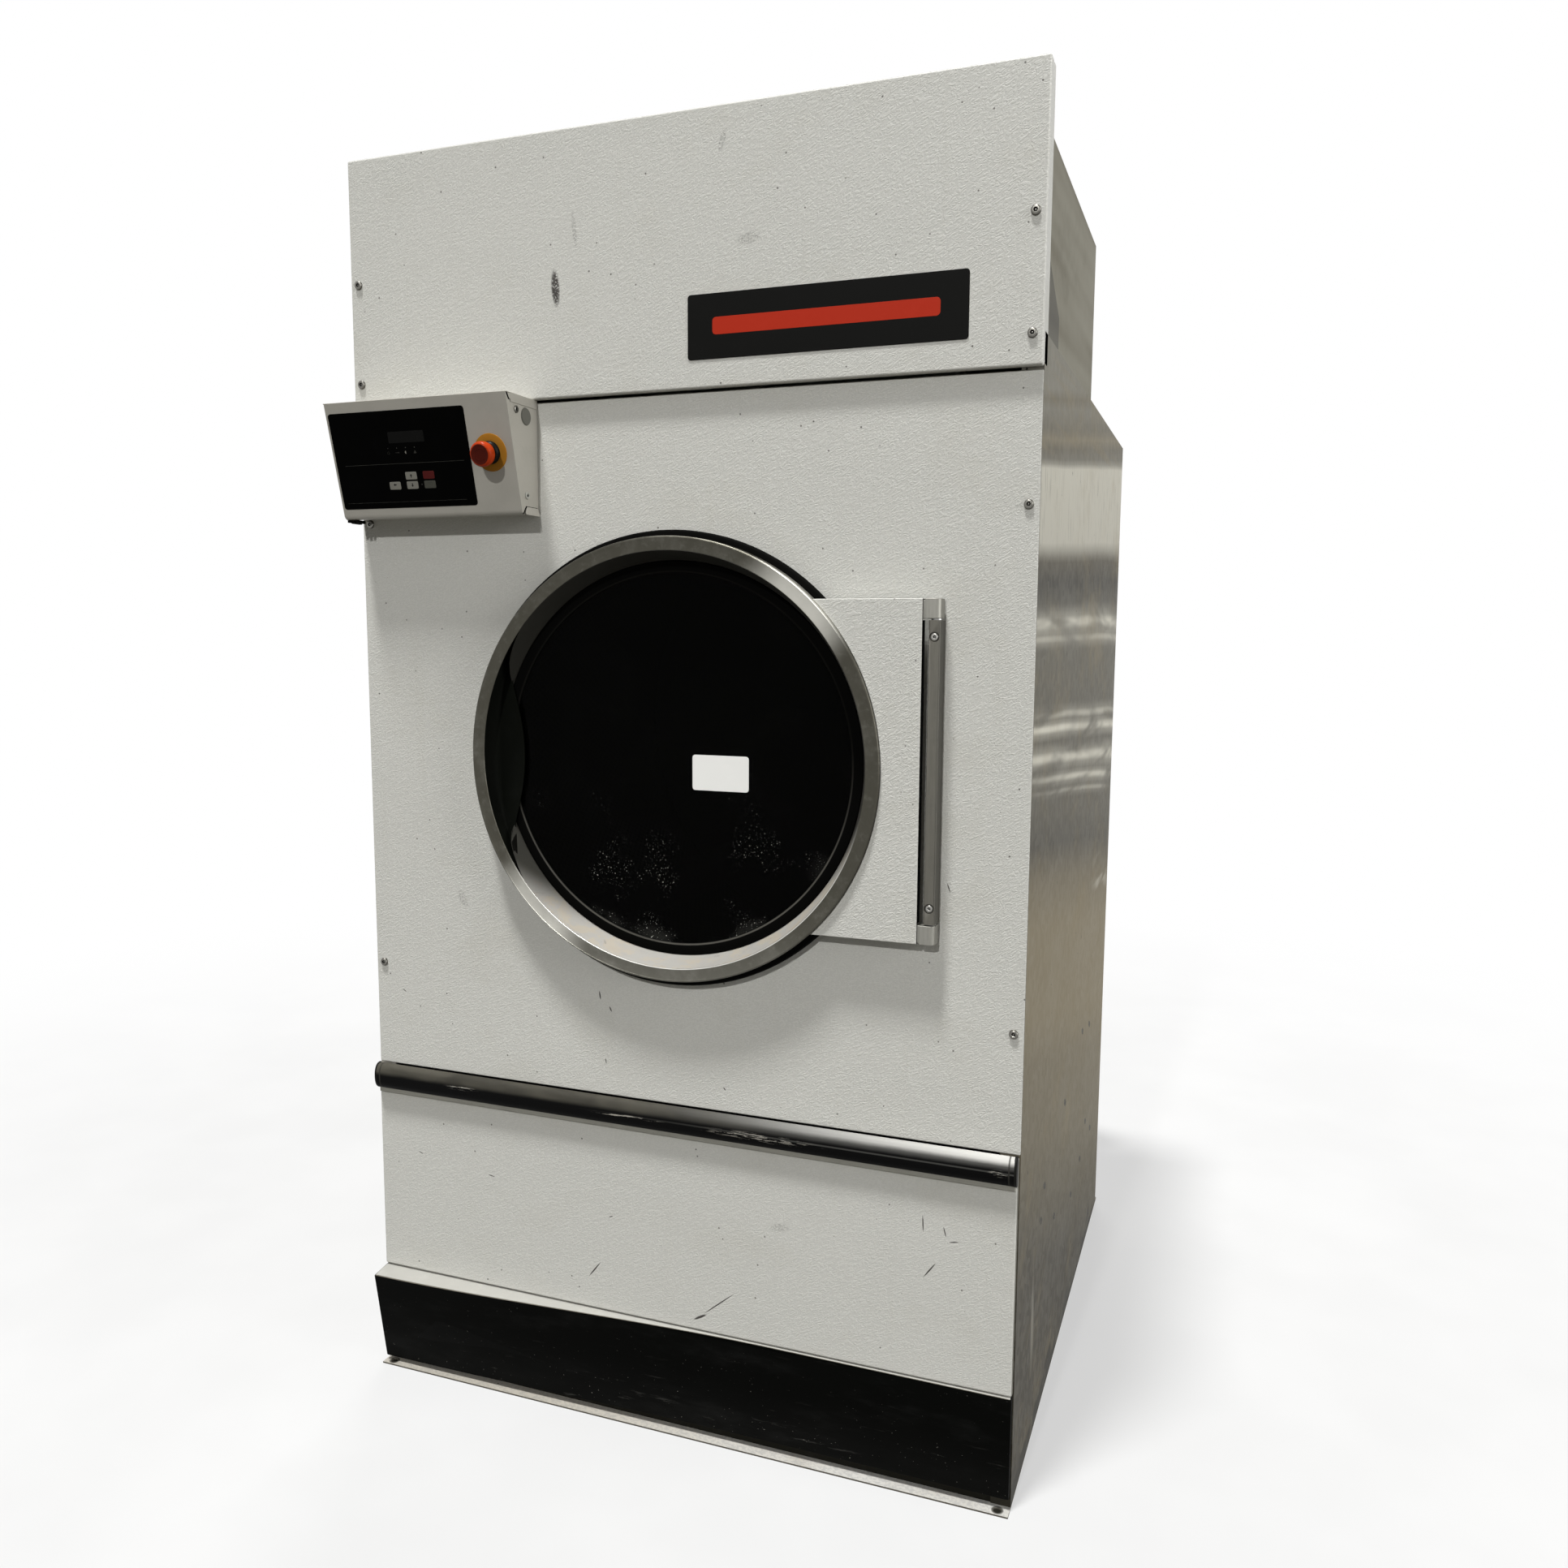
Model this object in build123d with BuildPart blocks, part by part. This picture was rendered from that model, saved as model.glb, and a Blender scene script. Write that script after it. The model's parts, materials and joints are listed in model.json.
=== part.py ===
from build123d import *
import math
import os

# Industrial tumble dryer, 54 kg class, gas heated, standing on the floor.
# X runs to the right as seen from the front, Y runs from front to back, Z is up.
# The origin is on the floor, under the middle of the base plate. Millimetres.

# Cabinet
cabinet_width = 1176.0
cabinet_depth = 1153.0
overall_height = 2153.0
sheet = 2.0
flange = 30.0
touch = 0.3

half = cabinet_width / 2
inner = half - sheet
front = -cabinet_depth / 2
rear = cabinet_depth / 2

# Base
base_plate = 3.0
base_toe = 22.0
base_web = 60.0
base_web_sheet = 3.0
anchor_hole_radius = 6.5
anchor_from_side = 18.5
anchor_from_toe = 11.0

# Front panels
main_bottom = 581.0
main_top = 1738.0
panel_seam = 4.0
upper_step = 11.0
upper_return = 26.0
upper_top_flange = 50.0
panel_flange = 20.0
opening_radius = 350.0
opening_lip = 25.0

upper_bottom = main_top + panel_seam
upper_face = front - upper_step
upper_back = upper_face + sheet

# Brackets that carry the upper front panel
bracket_foot = 140.0
bracket_step = 46.0
bracket_taper = 65.0
bracket_top_gap = 52.0
bracket_above_side = 2.0

# Nameplate
nameplate_width = 439.0
nameplate_height = 97.0
nameplate_thickness = 1.2
nameplate_corner = 10.0
nameplate_center_x = 262.0
nameplate_center_z = 1832.5

# Button head screws
screw_head_radius = 6.0
screw_head_height = 4.0
screw_rim_height = 1.0
screw_shoulder = 0.75
screw_shank_radius = 3.0
screw_shank_length = 12.0
screw_socket_radius = 2.2
screw_socket_depth = 2.2
screw_hole_gap = 0.2
screw_from_side = 16.0
main_screw_heights = (769.5, 1551.5)
upper_screw_heights = (1786.0, 1950.0)

# Kickplate
kick_gap = 2.0
kick_bottom = 22.0
kick_proud = 22.0
kick_side_gap = 2.0

# Door
door_offset_x = 8.5
door_z = (main_bottom + main_top) / 2
ring_radius = 358.0
ring_band_inner = 335.0
ring_front = 36.0
ring_corner = 3.0
ring_sheet = 2.0
ring_wall_stand_off = 14.0
cone_end_radius = 321.5
cone_end = 5.0
cone_lip = 12.0
gasket_inner_radius = 302.0
gasket_front_lip = 4.0
gasket_front = 3.0
gasket_taper = 1.0
glass_radius = 312.0
glass_thickness = 6.0
label_width = 95.0
label_height = 51.0
label_thickness = 0.3
label_turn = 4.0
label_right = 81.0
label_down = 17.5
seal_radius = 368.5
seal_inner_radius = 345.0
seal_wrap = 6.0
seal_corner = 2.0
handle_ring_gap = 13.0
handle_wall = 2.5
handle_edge_inset = 68.5
handle_bulge = 20.5
handle_bulge_half = 115.0
handle_floor = 1.5
handle_floor_set_back = 21.5

handle_radius = ring_radius - handle_ring_gap
handle_edge = handle_radius - handle_edge_inset

# Hinge
plate_front = 30.0
plate_half_height = 258.5
plate_right = 427.0
plate_return = 14.0
seal_keep_out = 3.0
lug_gap = 3.0
lug_width = 24.0
lug_height = 29.0
lug_nose = 9.0
lug_back = 5.0
lug_leaf = 32.0
lug_leaf_thickness = 4.0
hinge_end_gap = 2.4
bar_width = 18.0
bar_depth = 30.0
bar_edge_radius = 3.0
hinge_pin_radius = 5.0
hinge_pin_clearance = 0.05
hinge_pin_in_bar = 20.0
hinge_pin_in_lug = 20.0
hinge_pin_end_room = 2.0
hinge_collar_radius = 8.0
hinge_collar_height = 2.1
hinge_screw_from_center = 202.5
hinge_screw_recess_radius = 7.5
hinge_screw_recess_depth = 4.0

# Control box
control_left = -half
control_width = 355.0
control_top = 1740.0
control_sheet = 1.5
control_reach = 92.5
control_face_length = 182.0
control_tilt = 13.5
control_bottom = 1560.0
control_chin = 10.0
control_chin_drop = 8.0
control_chin_round = 0.3
control_box_rim = 12.0
control_lid_flange = 13.0
control_lid_notch = 12.0
overlay_width = 266.0
overlay_height = 157.0
overlay_from_left = 6.0
overlay_from_top = 16.0
overlay_thickness = 0.8
overlay_corner = 3.0
key_width = 22.0
key_height = 12.5
key_height_out = 0.5
key_corner = 2.0
key_pitch_x = 34.5
key_pitch_y = 15.2
key_first_x = 111.5
key_first_from_top = 136.5
board_width = 220.0
board_height = 120.0
board_thickness = 1.6
board_stand_off = 12.0
board_post_radius = 3.0
board_post_inset = 8.0
display_width = 72.0
display_height = 20.0
plug_dome_height = 2.5
plug_wall_gap = 0.2
large_plug_radius = 14.0
large_plug_neck = 12.0
small_plug_radius = 6.0
small_plug_neck = 4.5
plug_from_panel = 34.5
large_plug_down = 29.0
low_plug_down = 154.0
high_plug_from_panel = 63.0
high_plug_down = 22.0

# Emergency stop
estop_from_right = 44.5
estop_from_top = 91.0
estop_disc_radius = 30.0
estop_disc_thickness = 1.5
estop_barrel_radius = 11.0
estop_collar_radius = 15.0
estop_collar_height = 8.0
estop_barrel_depth = 20.0
estop_nut_radius = 17.0
estop_nut_height = 4.0
estop_contact_width = 30.0
estop_contact_depth = 38.0
estop_stem_radius = 8.0
estop_stem_clearance = 0.05
estop_travel = 5.0
estop_reserve = 0.5
estop_foot_gap = 1.0
estop_head_radius = 20.0
estop_head_height = 17.0
estop_head_edge = 4.0
estop_head_gap = 0.3
estop_neck_radius = 6.0
estop_neck_length = 12.0

# Lint drawer and bumper
drawer_proud = 6.0
drawer_bottom = 192.0
drawer_top_gap = 4.0
drawer_side_gap = 2.0
bumper_height = 44.0
bumper_proud = 16.0
bumper_wall = 3.0
bumper_inset = 2.0
bumper_cap = 4.0
retainer_thickness = 2.0
retainer_foot = 14.0
retainer_foot_proud = 6.0
tray_length = 740.0
tray_plate = 3.0
tray_side_gap = 34.0
tray_height = 60.0
tray_foot = 8.0
runner_z = 470.0
runner_sheet = 3.0
runner_height = 50.0
runner_ledge = 9.0
runner_from_front = 10.0
runner_extra = 20.0
screen_sheet = 1.0
screen_rim = 25.0
screen_rim_height = 2.5

tray_half_width = half - tray_side_gap
runner_ledge_inner = tray_half_width - runner_ledge

# Drum
drum_side_gap = 29.0
drum_top_gap = 71.5
drum_sheet = 2.0
drum_from_front = 43.0
drum_rear_gap = 68.0
drum_mouth_radius = 372.0
drum_mouth_lip = 15.0
drum_seal_inner = 380.0
drum_seal_outer = 396.0
rib_count = 4
rib_base = 100.0
rib_top = 26.0
rib_height = 80.0
rib_end_gap = 6.0
rib_first_angle = 45.0
spider_arms = 3
spider_first_angle = 90.0
spider_arm_width = 70.0
spider_arm_depth = 25.0
spider_arm_end_gap = 19.0
spider_hub_radius = 70.0
spider_hub_depth = 40.0
trunnion_overhang = 10.0

drum_radius = half - drum_side_gap
cabinet_top = door_z + drum_radius + drum_top_gap
drum_length = cabinet_depth - drum_from_front - drum_rear_gap
spider_arm_reach = drum_radius - spider_arm_end_gap

# Rear wall and trunnion
wall_from_rear = 2.0
channel_inner = 130.0
channel_width = 60.0
channel_depth = 42.0
channel_sheet = 3.0
channel_clear = 10.0
shaft_hole_radius = 80.0
shaft_radius = 35.0
running_clearance = 0.05
bearing_radius = 55.0
bearing_width = 30.0
housing_radius = 66.0
housing_flange = 330.0
housing_flange_thickness = 10.0
housing_start = 5.0
housing_end = 165.0

# Pulleys, belts and jackshaft, all placed behind the cabinet
pulley_width = 40.0
belt_width = 12.0
belt_side_gap = 0.5
belt_depth = 9.0
belt_seat_gap = 0.4
groove_pitch = 20.0
drum_pulley_radius = 315.0
drum_pulley_rim = 25.0
drum_pulley_web = 8.0
drum_pulley_hub = 60.0
drum_pulley_start = 175.0
drum_pulley_windows = 6
drum_pulley_window_radius = 52.0
jackshaft_x = 300.0
jackshaft_z = 690.0
jackshaft_radius = 17.5
jackshaft_pulley_radius = 45.0
idler_radius = 228.0
idler_rim = 22.0
idler_hub = 40.0
idler_windows = 5
idler_window_radius = 42.0
idler_gap = 10.0
jackshaft_tube_radius = 42.0
jackshaft_bearing_radius = 32.0
jackshaft_bearing_width = 20.0
jackshaft_tube_length = 105.0
jackshaft_overhang = 8.0
jackshaft_plate = 8.0
jackshaft_plate_height = 130.0
jackshaft_plate_reach = 380.0
motor_x = 440.0
motor_z = 330.0
motor_radius = 90.0
motor_length = 200.0
motor_end_cap = 22.0
motor_fin_count = 16
motor_fin_height = 6.0
motor_shaft_radius = 12.0
motor_pulley_radius = 38.0
motor_foot_height = 18.0
motor_foot_width = 150.0
motor_start = 12.0
motor_shelf_thickness = 8.0
motor_shelf_width = 200.0
motor_shelf_depth = 190.0
motor_plate_thickness = 6.0
motor_plate_height = 230.0
motor_shelf_shift = 10.0
motor_shaft_overhang = 4.0

# Blower
blower_x = -250.0
blower_z = 400.0
blower_radius = 270.0
blower_depth = 182.0
blower_outlet_width = 270.0
blower_outlet_top = 785.0
blower_inlet_radius = 150.0
blower_shaft_hole = 20.0
exhaust_radius = 127.0
exhaust_length = 100.0
exhaust_z = 640.0
impeller_radius = 200.0
impeller_depth = 120.0
impeller_front_gap = 30.0
impeller_plate = 3.0
impeller_hub_radius = 35.0
impeller_hub_length = 50.0
impeller_blade_gap = 4.0
impeller_eye_radius = 150.0
impeller_blades = 10
blade_thickness = 3.0
blade_lean = 30.0
fan_motor_radius = 95.0
fan_motor_length = 185.0
fan_motor_flange_radius = 112.0
fan_motor_flange = 12.0
fan_shaft_radius = 12.0

# Heater on top of the cabinet
heater_depth = 573.0
heater_height = 276.0
heater_side_gap = 4.0
heater_front_gap = 3.0
heater_slot_count = 5
heater_slot_width = 120.0
heater_slot_height = 14.0
heater_slot_pitch = 30.0
heater_slot_first = 40.0
hot_air_width = 860.0
hot_air_depth = 400.0
burner_count = 5
burner_pitch = 150.0
burner_radius = 22.0
burner_wall = 2.0
burner_length = 400.0
burner_z_above = 60.0
burner_from_front = 70.0
burner_bar = 12.0
burner_bar_inset = 30.0
manifold_radius = 17.0
manifold_overhang = 50.0
spud_radius = 7.0
spud_gap = 6.0
manifold_gap = 14.0
gas_x = 250.0
gas_pipe_radius = 17.0
gas_valve_width = 90.0
gas_valve_length = 110.0
gas_valve_height = 80.0
gas_valve_from_wall = 50.0
gas_coil_radius = 24.0
gas_coil_height = 40.0
gas_coil_pitch = 50.0
gas_valve_corner = 6.0
gas_collar_radius = 23.0
gas_collar_length = 20.0
gas_inlet_length = 60.0
gas_thread_radius = 16.6

# Junction box
box_side_gap = 48.0
box_width = 160.0
box_height = 200.0
box_bottom = 1480.0
box_depth = 80.0
box_sheet = 2.0
conduit_hole_radius = 14.0
conduit_from_wall = 40.0

box_left = box_side_gap - half

pieces = {}


def slab(x0, x1, y0, y1, z0, z1, mode=Mode.ADD):
    """A block between two opposite corners."""
    with Locations(((x0 + x1) / 2, (y0 + y1) / 2, (z0 + z1) / 2)):
        Box(x1 - x0, y1 - y0, z1 - z0, mode=mode)


def rear_plane(x, y, z):
    """A plane square to Y that looks to the rear, with its origin at a point."""
    return Plane(origin=(x, y, z), x_dir=(1, 0, 0), z_dir=(0, 1, 0))


def turned_plane(x, y, z, angle):
    """A plane square to Y that looks to the rear, its x direction lifted by an angle in degrees."""
    lift = math.radians(angle)
    return Plane(origin=(x, y, z), x_dir=(math.cos(lift), 0, math.sin(lift)), z_dir=(0, 1, 0))


def rod(x, z, radius, y0, y1, mode=Mode.ADD):
    """A round bar that runs from front to back."""
    with BuildSketch(rear_plane(x, y0, z)) as disc:
        Circle(radius)
    extrude(disc.sketch, amount=y1 - y0, mode=mode)


def turned(x, z, outline, mode=Mode.ADD):
    """A solid of revolution about a front-to-back axis, outline given as radius and y."""
    with BuildSketch(Plane(origin=(x, 0, z), x_dir=(1, 0, 0), z_dir=(0, 0, 1))) as section:
        with BuildLine():
            Polyline(*outline, close=True)
        make_face()
    revolve(section.sketch, axis=Axis((x, 0, z), (0, 1, 0)), mode=mode)


def side_plane(x):
    """A plane square to X, with Y across it and Z up it."""
    return Plane(origin=(x, 0, 0), x_dir=(0, 1, 0), z_dir=(1, 0, 0))


def facing_plane(y):
    """A plane square to Y that looks to the front, with X across it and Z up it."""
    return Plane(origin=(0, y, 0), x_dir=(1, 0, 0), z_dir=(0, -1, 0))


def tangent_side(x1, z1, r1, x2, z2, r2, side):
    """End points of the outer tangent of two circles on one side, 1 or -1."""
    length = math.hypot(x2 - x1, z2 - z1)
    along = ((x2 - x1) / length, (z2 - z1) / length)
    across = (-along[1] * side, along[0] * side)
    lean = (r1 - r2) / length
    level = math.sqrt(1 - lean**2)
    normal = (along[0] * lean + across[0] * level, along[1] * lean + across[1] * level)
    first = (x1 + r1 * normal[0], z1 + r1 * normal[1])
    second = (x2 + r2 * normal[0], z2 + r2 * normal[1])
    return first, second


# Base frame: a floor pan with a toe at the front and rear, and an upstand inside the sides
toe_front = front - base_toe
toe_rear = rear + base_toe
anchor_x = half - anchor_from_side
anchor_y = toe_rear - anchor_from_toe
web_outer = inner
web_front = front + 2 * sheet
with BuildPart() as base_frame:
    slab(-half, half, toe_front, toe_rear, 0, base_plate)
    slab(-web_outer, web_outer, web_front, rear - 2 * sheet, base_plate, base_plate + base_web)
    slab(
        -web_outer + base_web_sheet,
        web_outer - base_web_sheet,
        web_front + base_web_sheet,
        rear - 2 * sheet - base_web_sheet,
        base_plate,
        base_plate + base_web,
        mode=Mode.SUBTRACT,
    )
    with Locations((0, 0, base_plate)):
        with GridLocations(2 * anchor_x, 2 * anchor_y, 2, 2):
            Hole(anchor_hole_radius, depth=base_plate)
pieces["base_frame"] = base_frame

# Side panels: a sheet with a return at the front, the rear and the top
for name, side in (("left_side_panel", -1), ("right_side_panel", 1)):
    with BuildPart() as side_panel:
        wall_x = sorted((side * inner, side * half))
        turn_x = sorted((side * (inner - flange), side * inner))
        slab(*wall_x, front + sheet, rear, base_plate, cabinet_top)
        slab(*turn_x, front + sheet, front + 2 * sheet, base_plate, cabinet_top)
        slab(*turn_x, rear - sheet, rear, base_plate, cabinet_top)
        slab(*turn_x, front + 2 * sheet, rear - sheet, cabinet_top - sheet, cabinet_top)
        screw_x = side * (half - screw_from_side)
        for screw_z in main_screw_heights:
            rod(screw_x, screw_z, screw_shank_radius, front + sheet, front + 2 * sheet, mode=Mode.SUBTRACT)
    pieces[name] = side_panel

# Rear wall with its two upright channels
wall_back = rear - wall_from_rear
wall_front = wall_back - sheet
with BuildPart() as rear_wall:
    slab(-inner, inner, wall_front, wall_back, base_plate + base_web, cabinet_top - 2 * sheet)
    rod(0, door_z, shaft_hole_radius, wall_front, wall_back, mode=Mode.SUBTRACT)
    rod(blower_x, blower_z, blower_inlet_radius, wall_front, wall_back, mode=Mode.SUBTRACT)
    for side in (-1, 1):
        outer_x = sorted((side * channel_inner, side * (channel_inner + channel_width)))
        bore_x = (outer_x[0] + channel_sheet, outer_x[1] - channel_sheet)
        channel_back = wall_back + channel_depth
        channel_bottom = blower_outlet_top + channel_clear
        channel_foot = channel_bottom if side < 0 else base_plate + base_web
        slab(*outer_x, wall_back, channel_back, channel_foot, cabinet_top - 2 * sheet)
        slab(
            *bore_x,
            wall_back,
            channel_back - channel_sheet,
            channel_foot,
            cabinet_top - 2 * sheet,
            mode=Mode.SUBTRACT,
        )
pieces["rear_wall"] = rear_wall

# Cabinet top, under the top returns of the sides, with the way in for the hot air
top_z = cabinet_top - sheet
hot_air_front = front + (heater_depth - hot_air_depth) / 2
with BuildPart() as cabinet_cover:
    slab(-inner, inner, front + 2 * sheet, wall_front, top_z - sheet, top_z)
    slab(
        -hot_air_width / 2,
        hot_air_width / 2,
        hot_air_front,
        hot_air_front + hot_air_depth,
        top_z - sheet,
        top_z,
        mode=Mode.SUBTRACT,
    )
pieces["cabinet_cover"] = cabinet_cover

# Main front panel with the door opening and its rolled lip
with BuildPart() as main_front_panel:
    slab(-half, half, front, front + sheet, main_bottom, main_top)
    flange_x = inner - flange - sheet
    slab(-flange_x, flange_x, front + sheet, front + panel_flange, main_top - sheet, main_top)
    slab(-flange_x, flange_x, front + sheet, front + panel_flange, main_bottom, main_bottom + sheet)
    rod(door_offset_x, door_z, opening_radius + sheet, front, front + opening_lip)
    rod(door_offset_x, door_z, opening_radius, front, front + opening_lip, mode=Mode.SUBTRACT)
    for side in (-1, 1):
        for screw_z in main_screw_heights:
            screw_x = side * (half - screw_from_side)
            hole = screw_shank_radius + screw_hole_gap
            rod(screw_x, screw_z, hole, front, front + sheet, mode=Mode.SUBTRACT)
    hinge_x = plate_right + lug_gap + lug_width - bar_width / 2
    for side in (-1, 1):
        screw_z = door_z + side * hinge_screw_from_center
        rod(hinge_x, screw_z, screw_shank_radius, front, front + sheet, mode=Mode.SUBTRACT)
pieces["main_front_panel"] = main_front_panel

# Upper front panel, a shallow pan that stands proud of the main panel
return_top = overall_height - sheet
with BuildPart() as upper_front_panel:
    slab(-half, half, upper_face, upper_back, upper_bottom, overall_height)
    slab(-half, half, upper_back, upper_face + upper_top_flange, return_top, overall_height)
    slab(-half, half, upper_back, front, upper_bottom, upper_bottom + sheet)
    for side in (-1, 1):
        turn_x = sorted((side * inner, side * half))
        slab(*turn_x, upper_back, front, upper_bottom + sheet, return_top)
        side_foot = cabinet_top + bracket_above_side
        slab(*turn_x, front, front + upper_return, side_foot, return_top)
        for screw_z in upper_screw_heights:
            screw_x = side * (half - screw_from_side)
            hole = screw_shank_radius + screw_hole_gap
            rod(screw_x, screw_z, hole, upper_face, upper_back, mode=Mode.SUBTRACT)
pieces["upper_front_panel"] = upper_front_panel

# Brackets that tie the upper panel to the heater box, one each side
bracket_bottom = cabinet_top + bracket_above_side
bracket_top = overall_height - bracket_top_gap
with BuildPart() as upper_panel_brackets:
    for side in (-1, 1):
        near = side * inner
        far = side * (inner - sheet)
        outline = (
            (upper_back, bracket_bottom),
            (front + bracket_foot, bracket_bottom),
            (front + bracket_foot, bracket_bottom + bracket_step),
            (front + upper_return, bracket_bottom + bracket_step + bracket_taper),
            (front + upper_return, bracket_top),
            (upper_back, bracket_top),
        )
        with BuildSketch(side_plane(min(near, far))):
            with BuildLine():
                Polyline(*outline, close=True)
            make_face()
        extrude(amount=sheet)
        turn_x = sorted((side * (inner - flange), near))
        slab(*turn_x, upper_back, upper_back + sheet, upper_bottom + 2 * sheet, bracket_top)
        for screw_z in upper_screw_heights:
            screw_x = side * (half - screw_from_side)
            rod(
                screw_x,
                screw_z,
                screw_shank_radius,
                upper_back,
                upper_back + sheet,
                mode=Mode.SUBTRACT,
            )
pieces["upper_panel_brackets"] = upper_panel_brackets

# Nameplate, left bare
with BuildPart() as nameplate:
    with BuildSketch(facing_plane(upper_face)):
        with Locations((nameplate_center_x, nameplate_center_z)):
            RectangleRounded(nameplate_width, nameplate_height, nameplate_corner)
    extrude(amount=nameplate_thickness)
pieces["nameplate"] = nameplate

# Kickplate, a black pan under the lint drawer
kick_top = drawer_bottom - kick_gap
kick_face = front - kick_proud
kick_half = half - kick_side_gap
kick_back = front + sheet
with BuildPart() as kickplate:
    slab(-kick_half, kick_half, kick_face, kick_back, kick_bottom, kick_top)
    slab(
        -kick_half + sheet,
        kick_half - sheet,
        kick_face + sheet,
        kick_back,
        kick_bottom + sheet,
        kick_top - sheet,
        mode=Mode.SUBTRACT,
    )
pieces["kickplate"] = kickplate


def button_screw(x, z, seat):
    """A button head screw whose head sits on the plane y = seat."""
    dome = screw_head_height
    with BuildSketch(Plane(origin=(x, 0, z), x_dir=(1, 0, 0), z_dir=(0, 0, 1))) as section:
        with BuildLine():
            Line((0, seat + screw_shank_length), (screw_shank_radius, seat + screw_shank_length))
            Line((screw_shank_radius, seat + screw_shank_length), (screw_shank_radius, seat))
            Line((screw_shank_radius, seat), (screw_head_radius, seat))
            Line((screw_head_radius, seat), (screw_head_radius, seat - screw_rim_height))
            ThreePointArc(
                (screw_head_radius, seat - screw_rim_height),
                (screw_shoulder * screw_head_radius, seat - screw_shoulder * dome),
                (screw_socket_radius, seat - dome),
            )
            socket_foot = seat - dome + screw_socket_depth
            Line((screw_socket_radius, seat - dome), (screw_socket_radius, socket_foot))
            Line((screw_socket_radius, socket_foot), (0, socket_foot))
            Line((0, socket_foot), (0, seat + screw_shank_length))
        make_face()
    revolve(section.sketch, axis=Axis((x, 0, z), (0, 1, 0)))


# Screws of the front: panels and hinge bar
bar_front = front - bar_depth
with BuildPart() as front_screws:
    for side in (-1, 1):
        for screw_z in main_screw_heights:
            button_screw(side * (half - screw_from_side), screw_z, front)
        for screw_z in upper_screw_heights:
            button_screw(side * (half - screw_from_side), screw_z, upper_face)
pieces["front_screws"] = front_screws

# Control box: folded shell with a sloping face, open at the back and top
control_right = control_left + control_width
box_x0 = control_left + control_sheet
box_x1 = control_right - control_sheet
tilt = math.radians(control_tilt)
face_top_y = front - control_reach
face_bottom_y = face_top_y + control_face_length * math.sin(tilt)
face_bottom_z = control_top - control_face_length * math.cos(tilt)
chin_y = face_bottom_y + control_chin
chin_z = face_bottom_z - control_chin_drop
chin_mid = (
    face_bottom_y + control_chin_round * control_chin,
    face_bottom_z - (1 - control_chin_round) * control_chin_drop,
)
side_plugs = (
    (front - plug_from_panel, control_top - large_plug_down, large_plug_radius, large_plug_neck),
    (front - plug_from_panel, control_top - low_plug_down, small_plug_radius, small_plug_neck),
    (front - high_plug_from_panel, control_top - high_plug_down, small_plug_radius, small_plug_neck),
)
with BuildPart() as control_box:
    with BuildSketch(side_plane(box_x0)):
        with BuildLine():
            Line((front, control_top), (face_top_y, control_top))
            Line((face_top_y, control_top), (face_bottom_y, face_bottom_z))
            ThreePointArc((face_bottom_y, face_bottom_z), chin_mid, (chin_y, chin_z))
            Line((chin_y, chin_z), (front, control_bottom))
            Line((front, control_bottom), (front, control_top))
        make_face()
    extrude(amount=box_x1 - box_x0)
    with BuildSketch(side_plane(box_x0 + control_sheet)):
        with BuildLine():
            Line((front, control_top), (face_top_y, control_top))
            Line((face_top_y, control_top), (face_bottom_y, face_bottom_z))
            ThreePointArc((face_bottom_y, face_bottom_z), chin_mid, (chin_y, chin_z))
            Line((chin_y, chin_z), (front, control_bottom))
            Line((front, control_bottom), (front, control_top))
        make_face()
        offset(amount=-control_sheet)
    extrude(amount=box_x1 - box_x0 - 2 * control_sheet, mode=Mode.SUBTRACT)
    rim = control_box_rim
    slab(
        box_x0 + rim,
        box_x1 - rim,
        face_top_y + rim,
        front,
        control_top - control_sheet,
        control_top,
        mode=Mode.SUBTRACT,
    )
    slab(
        box_x0 + rim,
        box_x1 - rim,
        front - control_sheet,
        front,
        control_bottom + rim,
        control_top,
        mode=Mode.SUBTRACT,
    )
    estop_x = control_right - estop_from_right
    face_out = Vector(0, -math.cos(tilt), -math.sin(tilt))
    face_down = Vector(0, math.sin(tilt), -math.cos(tilt))
    face_origin = Vector(control_left, face_top_y, control_top)
    estop_origin = Vector(estop_x, face_top_y, control_top) + face_down * estop_from_top
    estop_plane = Plane(origin=estop_origin, x_dir=(1, 0, 0), z_dir=face_out)
    with BuildSketch(estop_plane):
        Circle(estop_barrel_radius)
    extrude(amount=-2 * control_sheet, mode=Mode.SUBTRACT)
    for plug_y, plug_z, head, neck in side_plugs:
        with BuildSketch(side_plane(box_x1 - control_sheet)):
            with Locations((plug_y, plug_z)):
                Circle(neck + plug_wall_gap)
        extrude(amount=control_sheet, mode=Mode.SUBTRACT)
pieces["control_box"] = control_box

# Plugs that close the spare holes in the right side of the box
with BuildPart() as control_box_plugs:
    for plug_y, plug_z, head, neck in side_plugs:
        with BuildSketch(side_plane(box_x1 - 2 * control_sheet)):
            with Locations((plug_y, plug_z)):
                Circle(neck)
        extrude(amount=2 * control_sheet)
        with BuildSketch(side_plane(box_x1)):
            with Locations((plug_y, plug_z)):
                Circle(head)
        extrude(amount=plug_dome_height)
pieces["control_box_plugs"] = control_box_plugs

# Control box lid with flanges that lap over the sides
with BuildPart() as control_lid:
    slab(
        control_left,
        control_right,
        face_top_y,
        front,
        control_top,
        control_top + control_sheet,
    )
    for x0 in (control_left, control_right - control_sheet):
        slab(
            x0,
            x0 + control_sheet,
            face_top_y + control_lid_notch,
            front - control_sheet,
            control_top - control_lid_flange,
            control_top,
        )
pieces["control_lid"] = control_lid


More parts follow.
